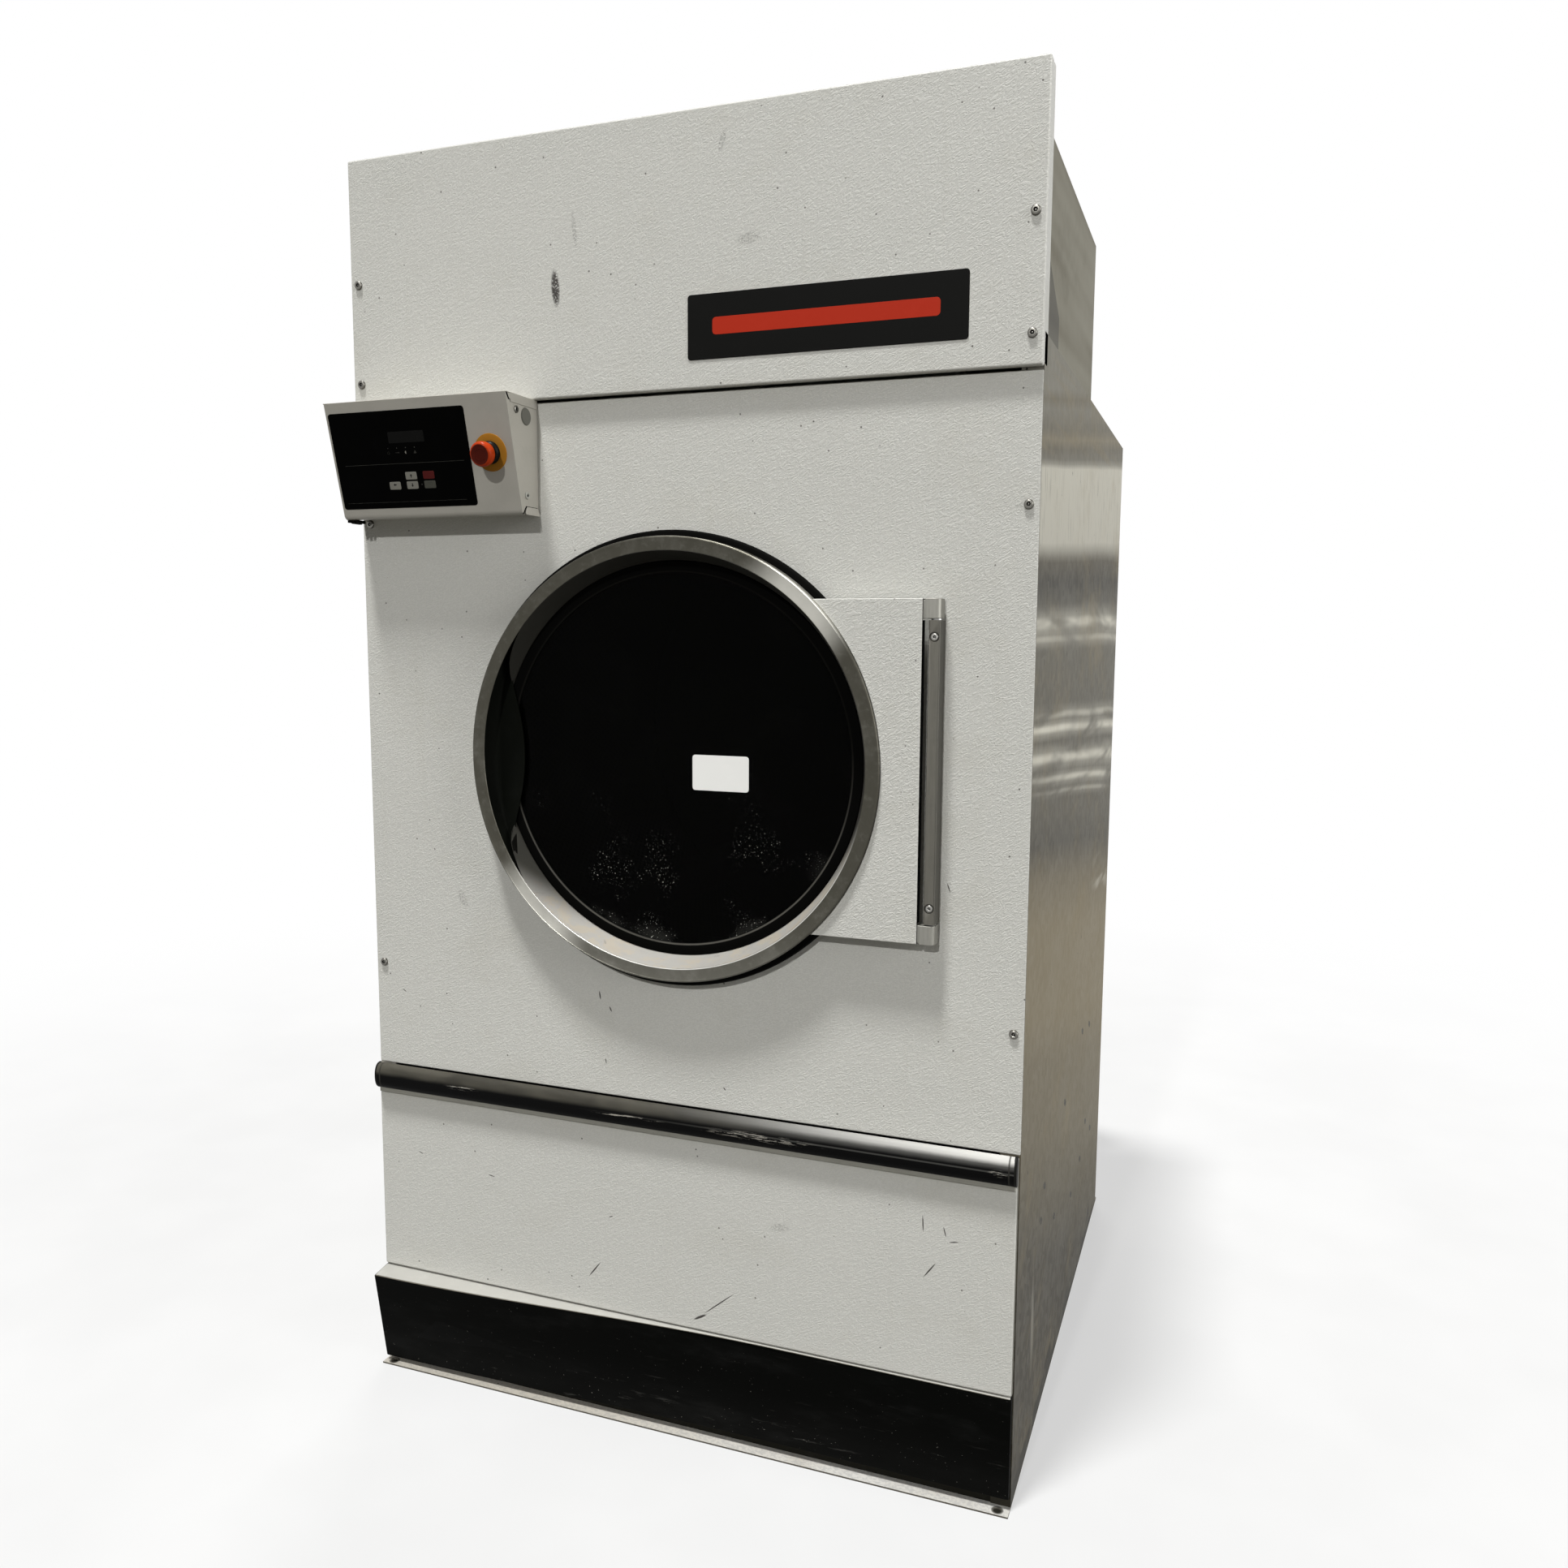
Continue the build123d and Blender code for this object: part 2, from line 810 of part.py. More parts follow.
def on_face(from_left, from_top, out=0.0):
    """A plane on the sloping face, at a distance from its left and top edges."""
    spot = face_origin + Vector(from_left, 0, 0) + face_down * from_top + face_out * out
    return Plane(origin=spot, x_dir=(1, 0, 0), z_dir=face_out)


# Membrane overlay with its five raised keys
overlay_x = overlay_from_left + overlay_width / 2
overlay_down = overlay_from_top + overlay_height / 2
with BuildPart() as control_overlay:
    with BuildSketch(on_face(overlay_x, overlay_down)):
        RectangleRounded(overlay_width, overlay_height, overlay_corner)
    extrude(amount=overlay_thickness)
    for column, row in ((0, 0), (1, 0), (2, 0), (1, -1), (2, -1)):
        key_x = overlay_from_left + key_first_x + column * key_pitch_x
        key_down = key_first_from_top + row * key_pitch_y
        with BuildSketch(on_face(key_x, key_down, overlay_thickness)):
            RectangleRounded(key_width, key_height, key_corner)
        extrude(amount=key_height_out)
pieces["control_overlay"] = control_overlay

# Control board on four posts behind the overlay, with the display block on it
board_in = control_sheet + board_stand_off
with BuildPart() as control_board:
    with BuildSketch(on_face(overlay_x, overlay_down, -board_in)):
        Rectangle(board_width, board_height)
    extrude(amount=-board_thickness)
    with BuildSketch(on_face(overlay_x, overlay_down, -board_in)):
        with GridLocations(board_width - 2 * board_post_inset, board_height - 2 * board_post_inset, 2, 2):
            Circle(board_post_radius)
    extrude(amount=board_stand_off)
    with BuildSketch(on_face(overlay_x, overlay_down - board_height / 4, -board_in)):
        Rectangle(display_width, display_height)
    extrude(amount=board_stand_off - 1)
pieces["control_board"] = control_board

# Emergency stop: legend disc, base with barrel, nut and contact block, plunger, head
with BuildPart() as estop_disc:
    with BuildSketch(estop_plane):
        Circle(estop_disc_radius)
        Circle(estop_barrel_radius, mode=Mode.SUBTRACT)
    extrude(amount=estop_disc_thickness)
pieces["estop_disc"] = estop_disc

collar_top = estop_disc_thickness + estop_collar_height
with BuildPart() as estop_base:
    with BuildSketch(estop_plane.offset(estop_disc_thickness)):
        Circle(estop_collar_radius)
    extrude(amount=estop_collar_height)
    with BuildSketch(estop_plane.offset(estop_disc_thickness)):
        Circle(estop_barrel_radius)
    extrude(amount=-estop_barrel_depth - estop_disc_thickness)
    with BuildSketch(estop_plane.offset(-control_sheet)):
        RegularPolygon(estop_nut_radius, 6)
    extrude(amount=-estop_nut_height)
    with BuildSketch(estop_plane.offset(collar_top)):
        Circle(estop_stem_radius)
    extrude(amount=-collar_top - estop_barrel_depth, mode=Mode.SUBTRACT)
    with BuildSketch(estop_plane.offset(-estop_barrel_depth)):
        Rectangle(estop_contact_width, estop_contact_width)
    extrude(amount=-estop_contact_depth)
pieces["estop_base"] = estop_base

head_foot = collar_top + estop_travel + estop_reserve
with BuildPart() as estop_plunger:
    with BuildSketch(estop_plane.offset(head_foot)):
        Circle(estop_stem_radius - estop_stem_clearance)
    extrude(amount=-head_foot - estop_barrel_depth + estop_travel + estop_foot_gap)
    with BuildSketch(estop_plane.offset(head_foot)):
        Circle(estop_neck_radius - estop_stem_clearance)
    extrude(amount=estop_neck_length)
pieces["estop_plunger"] = estop_plunger

head_start = head_foot + estop_head_gap
bore_length = estop_neck_length
with BuildPart() as estop_head:
    with BuildSketch(estop_plane.offset(head_start)):
        Circle(estop_head_radius)
    extrude(amount=estop_head_height)
    rims = estop_head.edges().filter_by(GeomType.CIRCLE).sort_by(Axis(estop_origin, face_out))
    fillet(rims[-1], radius=estop_head_edge)
    fillet(rims[0], radius=estop_head_edge / 2)
    with BuildSketch(estop_plane.offset(head_start)):
        Circle(estop_neck_radius)
    extrude(amount=bore_length, mode=Mode.SUBTRACT)
pieces["estop_head"] = estop_head

# Door ring: flat brushed band, outer wall, inner cone and the lip that holds the glass
ring_face = front - ring_front
wall_end = front - ring_wall_stand_off
cone_y = front + cone_end
lip_y = cone_y + cone_lip


def handle_slice(plane, radius, edge):
    """The left slice of the door circle, up to an upright edge with a bulge in the middle."""
    reach = math.sqrt(radius**2 - edge**2)
    far = door_offset_x - 2 * radius
    x = door_offset_x - edge
    with BuildSketch(plane) as region:
        with Locations((door_offset_x, door_z)):
            Circle(radius)
        with BuildLine():
            Line((x, door_z + reach), (x, door_z + handle_bulge_half))
            Spline(
                (x, door_z + handle_bulge_half),
                (x + handle_bulge, door_z),
                (x, door_z - handle_bulge_half),
                tangents=((0, -1), (0, -1)),
            )
            Line((x, door_z - handle_bulge_half), (x, door_z - reach))
            Line((x, door_z - reach), (far, door_z - reach))
            Line((far, door_z - reach), (far, door_z + reach))
            Line((far, door_z + reach), (x, door_z + reach))
        make_face(mode=Mode.INTERSECT)
    return region.sketch


with BuildPart() as door_ring:
    slope = ring_sheet / 4
    turned(
        door_offset_x,
        door_z,
        (
            (ring_radius, wall_end),
            (ring_radius, ring_face + ring_corner),
            (ring_radius - ring_corner, ring_face),
            (ring_band_inner, ring_face),
            (cone_end_radius, cone_y),
            (cone_end_radius, lip_y),
            (cone_end_radius + ring_sheet, lip_y),
            (cone_end_radius + ring_sheet, cone_y + slope),
            (ring_band_inner + ring_sheet - slope, ring_face + ring_sheet),
            (ring_radius - ring_corner - slope, ring_face + ring_sheet),
            (ring_radius - ring_sheet, ring_face + ring_corner + slope),
            (ring_radius - ring_sheet, wall_end),
        ),
    )
    cut = handle_slice(facing_plane(lip_y), handle_radius, handle_edge)
    extrude(cut, amount=lip_y - ring_face - ring_sheet, mode=Mode.SUBTRACT)
pieces["door_ring"] = door_ring

# Handle: a black scoop set behind the band on the left, open towards the glass
handle_back = front - touch + handle_floor
handle_front = ring_face + ring_sheet
floor_front = handle_back - handle_wall
with BuildPart() as door_handle:
    outside = handle_slice(facing_plane(floor_front), handle_radius, handle_edge)
    extrude(outside, amount=floor_front - handle_front)
    inside = handle_slice(facing_plane(floor_front), handle_radius - handle_wall, handle_edge / 2)
    extrude(inside, amount=floor_front - handle_front, mode=Mode.SUBTRACT)
    floor_edge = handle_edge + handle_floor_set_back
    floor = handle_slice(facing_plane(handle_back), handle_radius, floor_edge)
    extrude(floor, amount=handle_wall)
pieces["door_handle"] = door_handle

# Glass and the rubber channel around it
gasket_y = front + gasket_front
glass_y = gasket_y + gasket_front_lip
gasket_end = lip_y
with BuildPart() as glass_gasket:
    turned(
        door_offset_x,
        door_z,
        (
            (cone_end_radius, gasket_y + gasket_front),
            (cone_end_radius - gasket_front, gasket_y),
            (gasket_inner_radius, gasket_y + gasket_taper),
            (gasket_inner_radius, glass_y),
            (glass_radius, glass_y),
            (glass_radius, glass_y + glass_thickness),
            (gasket_inner_radius, glass_y + glass_thickness),
            (gasket_inner_radius, gasket_end),
            (cone_end_radius, gasket_end),
        ),
    )
pieces["glass_gasket"] = glass_gasket

with BuildPart() as door_glass:
    rod(door_offset_x, door_z, glass_radius, glass_y, glass_y + glass_thickness)
pieces["door_glass"] = door_glass

# Paper label on the front of the glass, put on a little crooked
with BuildPart() as glass_label:
    with BuildSketch(facing_plane(glass_y)):
        with Locations((door_offset_x + label_right, door_z - label_down)):
            Rectangle(label_width, label_height, rotation=-label_turn)
    extrude(amount=label_thickness)
pieces["glass_label"] = glass_label

# Magnetic seal behind the ring, which closes on the front panel
with BuildPart() as door_seal:
    turned(
        door_offset_x,
        door_z,
        (
            (ring_radius, wall_end - seal_wrap),
            (seal_radius - seal_corner, wall_end - seal_wrap),
            (seal_radius, wall_end - seal_wrap + seal_corner),
            (seal_radius, front - touch),
            (seal_inner_radius, front - touch),
            (seal_inner_radius, wall_end),
            (ring_radius, wall_end),
        ),
    )
pieces["door_seal"] = door_seal

# Hinge plate, a pan between the ring and the hinge
plate_y = front - plate_front
plate_top = door_z + plate_half_height
plate_bottom = door_z - plate_half_height
bar_half = plate_half_height - lug_height - hinge_end_gap
lug_x0 = plate_right + lug_gap
with BuildPart() as door_hinge_plate:
    slab(door_offset_x, plate_right, plate_y, plate_y + sheet, plate_bottom, plate_top)
    return_y = plate_y + sheet + plate_return
    slab(door_offset_x, plate_right, plate_y + sheet, return_y, plate_top - sheet, plate_top)
    slab(door_offset_x, plate_right, plate_y + sheet, return_y, plate_bottom, plate_bottom + sheet)
    slab(
        plate_right - sheet,
        plate_right,
        plate_y + sheet,
        return_y,
        door_z - bar_half,
        door_z + bar_half,
    )
    rod(door_offset_x, door_z, ring_radius, plate_y, return_y, mode=Mode.SUBTRACT)
    rod(
        door_offset_x,
        door_z,
        seal_radius + seal_keep_out,
        plate_y + sheet,
        return_y,
        mode=Mode.SUBTRACT,
    )
pieces["door_hinge_plate"] = door_hinge_plate

# Hinge lugs on the door, each with a leaf behind the plate and a bore for its pin
hinge_y = front - bar_depth / 2
with BuildPart() as hinge_lugs:
    for side in (-1, 1):
        lug_ends = (door_z + side * plate_half_height, door_z + side * (plate_half_height - lug_height))
        with BuildSketch(Plane.XY.offset(min(lug_ends))) as lug_outline:
            with Locations((lug_x0, front - bar_depth)):
                Rectangle(lug_width, bar_depth - lug_back, align=(Align.MIN, Align.MIN))
            nose_corner = lug_outline.vertices().sort_by(Axis.X)[-2:].sort_by(Axis.Y)[0]
            fillet(nose_corner, radius=lug_nose)
        extrude(amount=lug_height)
        leaf_z = sorted(
            (
                door_z + side * (plate_half_height - sheet),
                door_z + side * (plate_half_height - lug_height),
            )
        )
        leaf_y = plate_y + sheet
        slab(lug_x0 - lug_leaf, lug_x0, leaf_y, leaf_y + lug_leaf_thickness, *leaf_z)
        bore_foot = door_z + side * (plate_half_height - lug_height)
        bore_length = hinge_pin_in_lug + hinge_pin_end_room
        with BuildSketch(Plane(origin=(hinge_x, hinge_y, bore_foot), z_dir=(0, 0, side))):
            Circle(hinge_pin_radius + hinge_pin_clearance)
        extrude(amount=bore_length, mode=Mode.SUBTRACT)
pieces["hinge_lugs"] = hinge_lugs

# Hinge bar on the front panel, recessed for its two screws
with BuildPart() as hinge_bar:
    slab(
        hinge_x - bar_width / 2,
        hinge_x + bar_width / 2,
        front - bar_depth,
        front,
        door_z - bar_half,
        door_z + bar_half,
    )
    front_edges = hinge_bar.edges().filter_by(Axis.Z).group_by(Axis.Y)[0]
    fillet(front_edges, radius=bar_edge_radius)
    for side in (-1, 1):
        screw_z = door_z + side * hinge_screw_from_center
        rod(hinge_x, screw_z, screw_shank_radius, bar_front, front, mode=Mode.SUBTRACT)
        rod(
            hinge_x,
            screw_z,
            hinge_screw_recess_radius,
            bar_front,
            bar_front + hinge_screw_recess_depth,
            mode=Mode.SUBTRACT,
        )
        bar_end = door_z + side * bar_half
        with BuildSketch(Plane(origin=(hinge_x, hinge_y, bar_end), z_dir=(0, 0, -side))):
            Circle(hinge_pin_radius)
        extrude(amount=hinge_pin_in_bar, mode=Mode.SUBTRACT)
pieces["hinge_bar"] = hinge_bar

with BuildPart() as hinge_pins:
    for side in (-1, 1):
        bar_end = door_z + side * bar_half
        start = Plane(origin=(hinge_x, hinge_y, bar_end), z_dir=(0, 0, side))
        with BuildSketch(start.offset(-hinge_pin_in_bar)):
            Circle(hinge_pin_radius)
        extrude(amount=hinge_pin_in_bar + hinge_end_gap + hinge_pin_in_lug)
        with BuildSketch(start):
            Circle(hinge_collar_radius)
        extrude(amount=hinge_collar_height)
pieces["hinge_pins"] = hinge_pins

hinge_screw_length = bar_depth - hinge_screw_recess_depth + 4 * sheet
with BuildPart() as hinge_screws:
    for side in (-1, 1):
        screw_z = door_z + side * hinge_screw_from_center
        seat = bar_front + hinge_screw_recess_depth
        button_screw(hinge_x, screw_z, seat)
        rod(hinge_x, screw_z, screw_shank_radius, seat, seat + hinge_screw_length)
pieces["hinge_screws"] = hinge_screws

# Lint drawer: front pan, bumper that is also its pull, tray and screen
drawer_top = main_bottom - drawer_top_gap
drawer_face = front - drawer_proud
drawer_half = half - drawer_side_gap
drawer_rim_end = front + sheet - touch
with BuildPart() as drawer_front:
    slab(-drawer_half, drawer_half, drawer_face, drawer_rim_end, drawer_bottom, drawer_top)
    slab(
        -drawer_half + sheet,
        drawer_half - sheet,
        drawer_face + sheet,
        drawer_rim_end,
        drawer_bottom + sheet,
        drawer_top - sheet,
        mode=Mode.SUBTRACT,
    )
pieces["drawer_front"] = drawer_front

bumper_top = drawer_top
bumper_bottom = bumper_top - bumper_height
bumper_half = half - bumper_inset
cap_start = bumper_half - bumper_cap
retainer_face = drawer_face - retainer_thickness
bumper_face = drawer_face - bumper_proud


def bumper_section(x, y_back, y_front, z_low, z_high):
    """A D-shaped section square to X: flat back and foot, and a round shoulder at the top front."""
    reach = y_back - y_front
    middle = reach * math.cos(math.pi / 4)
    with BuildSketch(side_plane(x)) as section:
        with BuildLine():
            Line((y_back, z_low), (y_front, z_low))
            Line((y_front, z_low), (y_front, z_high - reach))
            ThreePointArc(
                (y_front, z_high - reach),
                (y_back - middle, z_high - reach + middle),
                (y_back, z_high),
            )
            Line((y_back, z_high), (y_back, z_low))
        make_face()
    return section.sketch


with BuildPart() as bumper_retainer:
    slab(
        -cap_start,
        cap_start,
        retainer_face,
        drawer_face,
        bumper_bottom - retainer_foot,
        bumper_top - bumper_wall,
    )
    slab(
        -cap_start,
        cap_start,
        drawer_face - retainer_foot_proud,
        retainer_face,
        bumper_bottom - retainer_foot,
        bumper_bottom,
    )
pieces["bumper_retainer"] = bumper_retainer

with BuildPart() as bumper_cover:
    skin = bumper_section(-cap_start, retainer_face, bumper_face, bumper_bottom, bumper_top)
    extrude(skin, amount=2 * cap_start)
    hollow = bumper_section(
        -cap_start,
        retainer_face,
        bumper_face + bumper_wall,
        bumper_bottom + bumper_wall,
        bumper_top - bumper_wall,
    )
    extrude(hollow, amount=2 * cap_start, mode=Mode.SUBTRACT)
pieces["bumper_cover"] = bumper_cover

with BuildPart() as bumper_caps:
    for x0 in (-bumper_half, cap_start):
        end = bumper_section(x0, drawer_face, bumper_face, bumper_bottom, bumper_top)
        extrude(end, amount=bumper_cap)
pieces["bumper_caps"] = bumper_caps

tray_z0 = runner_z + runner_sheet + touch
tray_z1 = tray_z0 + tray_height
tray_y0 = drawer_face + sheet
tray_y1 = tray_y0 + tray_length
with BuildPart() as drawer_tray:
    for side in (-1, 1):
        rail_x = sorted((side * (tray_half_width - tray_plate), side * tray_half_width))
        slab(*rail_x, tray_y0, tray_y1, tray_z0, tray_z1)
        foot_x = sorted((side * (tray_half_width - tray_foot), side * tray_half_width))
        slab(*foot_x, tray_y0, tray_y1, tray_z0, tray_z0 + tray_plate)
    for y0 in (tray_y0, tray_y1 - tray_plate):
        slab(-tray_half_width, tray_half_width, y0, y0 + tray_plate, tray_z0, tray_z1)
pieces["drawer_tray"] = drawer_tray

screen_half = tray_half_width - tray_plate
screen_y0 = tray_y0 + tray_plate
screen_y1 = tray_y1 - tray_plate
screen_z = tray_z0 + tray_plate
with BuildPart() as lint_screen:
    slab(-screen_half, screen_half, screen_y0, screen_y1, screen_z, screen_z + screen_rim_height)
    slab(
        -screen_half + screen_rim,
        screen_half - screen_rim,
        screen_y0 + screen_rim,
        screen_y1 - screen_rim,
        screen_z + screen_sheet,
        screen_z + screen_rim_height,
        mode=Mode.SUBTRACT,
    )
pieces["lint_screen"] = lint_screen

runner_y0 = front + runner_from_front
runner_y1 = tray_y1 + runner_extra
with BuildPart() as drawer_runners:
    for side in (-1, 1):
        wall_x = sorted((side * (inner - runner_sheet), side * inner))
        ledge_x = sorted((side * runner_ledge_inner, side * (inner - runner_sheet)))
        slab(*wall_x, runner_y0, runner_y1, runner_z, runner_z + runner_height)
        slab(*ledge_x, runner_y0, runner_y1, runner_z, runner_z + runner_sheet)
pieces["drawer_runners"] = drawer_runners

# Drum: shell with its front, ribs, and the spider with the trunnion shaft
drum_y0 = front + drum_from_front
drum_y1 = drum_y0 + drum_length
with BuildPart() as drum_shell:
    turned(
        0,
        door_z,
        (
            (drum_radius, drum_y0),
            (drum_radius, drum_y1),
            (drum_radius - drum_sheet, drum_y1),
            (drum_radius - drum_sheet, drum_y0 + drum_sheet),
            (drum_mouth_radius + drum_sheet, drum_y0 + drum_sheet),
            (drum_mouth_radius + drum_sheet, drum_y0 + drum_mouth_lip),
            (drum_mouth_radius, drum_y0 + drum_mouth_lip),
            (drum_mouth_radius, drum_y0),
        ),
    )
pieces["drum_shell"] = drum_shell

drum_inside = drum_radius - drum_sheet
back_y0 = drum_y1 - drum_sheet
with BuildPart() as drum_ribs:
    rib_y0 = drum_y0 + rib_end_gap
    rib_y1 = back_y0 - rib_end_gap
    for turn in range(rib_count):
        angle = rib_first_angle + turn * 360 / rib_count
        with BuildSketch(turned_plane(0, rib_y0, door_z, angle)):
            with BuildLine():
                top_y = -drum_inside + rib_height
                Line((-rib_base / 2, -drum_inside), (-rib_top / 2, top_y))
                ThreePointArc((-rib_top / 2, top_y), (0, top_y + rib_top / 4), (rib_top / 2, top_y))
                Line((rib_top / 2, top_y), (rib_base / 2, -drum_inside))
                Line((rib_base / 2, -drum_inside), (-rib_base / 2, -drum_inside))
            make_face()
        extrude(amount=rib_y1 - rib_y0)
    with BuildSketch(Plane(origin=(0, rib_y0, door_z), x_dir=(1, 0, 0), z_dir=(0, 1, 0))):
        Circle(drum_inside)
    extrude(amount=rib_y1 - rib_y0, mode=Mode.INTERSECT)
pieces["drum_ribs"] = drum_ribs

trunnion_end = rear + drum_pulley_start + pulley_width + trunnion_overhang
with BuildPart() as drum_spider:
    rod(0, door_z, drum_inside, back_y0, drum_y1)
    rod(0, door_z, spider_hub_radius, drum_y1, drum_y1 + spider_hub_depth)
    for turn in range(spider_arms):
        angle = spider_first_angle + turn * 360 / spider_arms
        with BuildSketch(turned_plane(0, drum_y1, door_z, angle)):
            with Locations((spider_arm_reach / 2, 0)):
                Rectangle(spider_arm_reach, spider_arm_width)
        extrude(amount=spider_arm_depth)
    rod(0, door_z, shaft_radius, drum_y1, trunnion_end)
pieces["drum_spider"] = drum_spider

# Felt seal between the front panel and the drum mouth
with BuildPart() as drum_front_seal:
    rod(0, door_z, drum_seal_outer, front + sheet, drum_y0 - touch)
    rod(0, door_z, drum_seal_inner, front + sheet, drum_y0 - touch, mode=Mode.SUBTRACT)
pieces["drum_front_seal"] = drum_front_seal

# Bearing housing on the channels
channel_face = wall_back + channel_depth
with BuildPart() as bearing_housing:
    slab(
        -housing_flange / 2,
        housing_flange / 2,
        channel_face,
        channel_face + housing_flange_thickness,
        door_z - housing_flange / 2,
        door_z + housing_flange / 2,
    )
    rod(0, door_z, housing_radius, rear + housing_start, rear + housing_end)
    rod(0, door_z, bearing_radius, rear + housing_start, rear + housing_end, mode=Mode.SUBTRACT)
pieces["bearing_housing"] = bearing_housing

jack_plate_y = channel_face
jack_tube_y0 = jack_plate_y
jack_tube_y1 = jack_tube_y0 + jackshaft_plate + jackshaft_tube_length
with BuildPart() as shaft_bearings:
    for y0 in (rear + housing_start, rear + housing_end - bearing_width):
        rod(0, door_z, bearing_radius, y0, y0 + bearing_width)
        rod(0, door_z, shaft_radius + running_clearance, y0, y0 + bearing_width, mode=Mode.SUBTRACT)
    for y0 in (jack_tube_y0, jack_tube_y1 - jackshaft_bearing_width):
        y1 = y0 + jackshaft_bearing_width
        rod(jackshaft_x, jackshaft_z, jackshaft_bearing_radius, y0, y1)
        rod(jackshaft_x, jackshaft_z, jackshaft_radius + running_clearance, y0, y1, mode=Mode.SUBTRACT)
pieces["shaft_bearings"] = shaft_bearings


def grooved_rim(x, z, radius, y0, mode=Mode.SUBTRACT):
    """Two belt grooves cut in the rim of a pulley that starts at y0."""
    depth = belt_depth + belt_seat_gap
    for side in (-1, 1):
        middle = y0 + pulley_width / 2 + side * groove_pitch / 2
        wide = belt_width / 2 + belt_side_gap
        turned(
            x,
            z,
            (
                (radius - depth, middle - wide),
                (radius + 1, middle - wide),
                (radius + 1, middle + wide),
                (radius - depth, middle + wide),
            ),
            mode=mode,
        )


# Drum pulley with lightening windows
drum_pulley_y = rear + drum_pulley_start
web_y0 = drum_pulley_y + (pulley_width - drum_pulley_web) / 2
with BuildPart() as drum_pulley:
    rod(0, door_z, drum_pulley_radius, drum_pulley_y, drum_pulley_y + pulley_width)
    rod(
        0,
        door_z,
        drum_pulley_radius - drum_pulley_rim,
        drum_pulley_y,
        drum_pulley_y + pulley_width,
        mode=Mode.SUBTRACT,
    )
    rod(0, door_z, drum_pulley_radius - drum_pulley_rim, web_y0, web_y0 + drum_pulley_web)
    window_ring = (drum_pulley_radius - drum_pulley_rim + drum_pulley_hub) / 2
    with BuildSketch(facing_plane(web_y0 + drum_pulley_web)):
        with Locations((0, door_z)):
            with PolarLocations(window_ring, drum_pulley_windows):
                Circle(drum_pulley_window_radius)
    extrude(amount=drum_pulley_web, mode=Mode.SUBTRACT)
    rod(0, door_z, drum_pulley_hub, drum_pulley_y, drum_pulley_y + pulley_width)
    rod(0, door_z, shaft_radius, drum_pulley_y, drum_pulley_y + pulley_width, mode=Mode.SUBTRACT)
    grooved_rim(0, door_z, drum_pulley_radius, drum_pulley_y)
pieces["drum_pulley"] = drum_pulley

# Jackshaft with its small pulley, and the large idler pulley behind it
idler_y = drum_pulley_y + pulley_width + idler_gap
jackshaft_end = idler_y + pulley_width + jackshaft_overhang
with BuildPart() as jackshaft:
    rod(jackshaft_x, jackshaft_z, jackshaft_radius, jack_tube_y0, jackshaft_end)
    rod(jackshaft_x, jackshaft_z, jackshaft_pulley_radius, drum_pulley_y, drum_pulley_y + pulley_width)
    grooved_rim(jackshaft_x, jackshaft_z, jackshaft_pulley_radius, drum_pulley_y)
pieces["jackshaft"] = jackshaft

idler_web_y = idler_y + (pulley_width - drum_pulley_web) / 2
with BuildPart() as idler_pulley:
    rod(jackshaft_x, jackshaft_z, idler_radius, idler_y, idler_y + pulley_width)
    rod(
        jackshaft_x,
        jackshaft_z,
        idler_radius - idler_rim,
        idler_y,
        idler_y + pulley_width,
        mode=Mode.SUBTRACT,
    )
    rod(jackshaft_x, jackshaft_z, idler_radius - idler_rim, idler_web_y, idler_web_y + drum_pulley_web)
    window_ring = (idler_radius - idler_rim + idler_hub) / 2
    with BuildSketch(facing_plane(idler_web_y + drum_pulley_web)):
        with Locations((jackshaft_x, jackshaft_z)):
            with PolarLocations(window_ring, idler_windows):
                Circle(idler_window_radius)
    extrude(amount=drum_pulley_web, mode=Mode.SUBTRACT)
    rod(jackshaft_x, jackshaft_z, idler_hub, idler_y, idler_y + pulley_width)
    rod(
        jackshaft_x,
        jackshaft_z,
        jackshaft_radius,
        idler_y,
        idler_y + pulley_width,
        mode=Mode.SUBTRACT,
    )
    grooved_rim(jackshaft_x, jackshaft_z, idler_radius, idler_y)
pieces["idler_pulley"] = idler_pulley

with BuildPart() as jackshaft_bracket:
    slab(
        channel_inner,
        jackshaft_plate_reach,
        jack_plate_y,
        jack_plate_y + jackshaft_plate,
        jackshaft_z - jackshaft_plate_height / 2,
        jackshaft_z + jackshaft_plate_height / 2,
    )
    rod(jackshaft_x, jackshaft_z, jackshaft_tube_radius, jack_tube_y0, jack_tube_y1)
    rod(
        jackshaft_x,
        jackshaft_z,
        jackshaft_bearing_radius,
        jack_tube_y0,
        jack_tube_y1,
        mode=Mode.SUBTRACT,
    )
pieces["jackshaft_bracket"] = jackshaft_bracket


def belt_loop(x1, z1, r1, x2, z2, r2, y):
    """The area inside a belt that runs round two circles, seen from the front at y."""
    up1, up2 = tangent_side(x1, z1, r1, x2, z2, r2, 1)
    low1, low2 = tangent_side(x1, z1, r1, x2, z2, r2, -1)
    length = math.hypot(x2 - x1, z2 - z1)
    along = ((x2 - x1) / length, (z2 - z1) / length)
    far1 = (x1 - r1 * along[0], z1 - r1 * along[1])
    far2 = (x2 + r2 * along[0], z2 + r2 * along[1])
    with BuildSketch(facing_plane(y)) as loop:
        with BuildLine():
            Line(up1, up2)
            ThreePointArc(up2, far2, low2)
            Line(low2, low1)
            ThreePointArc(low1, far1, up1)
        make_face()
    return loop.sketch


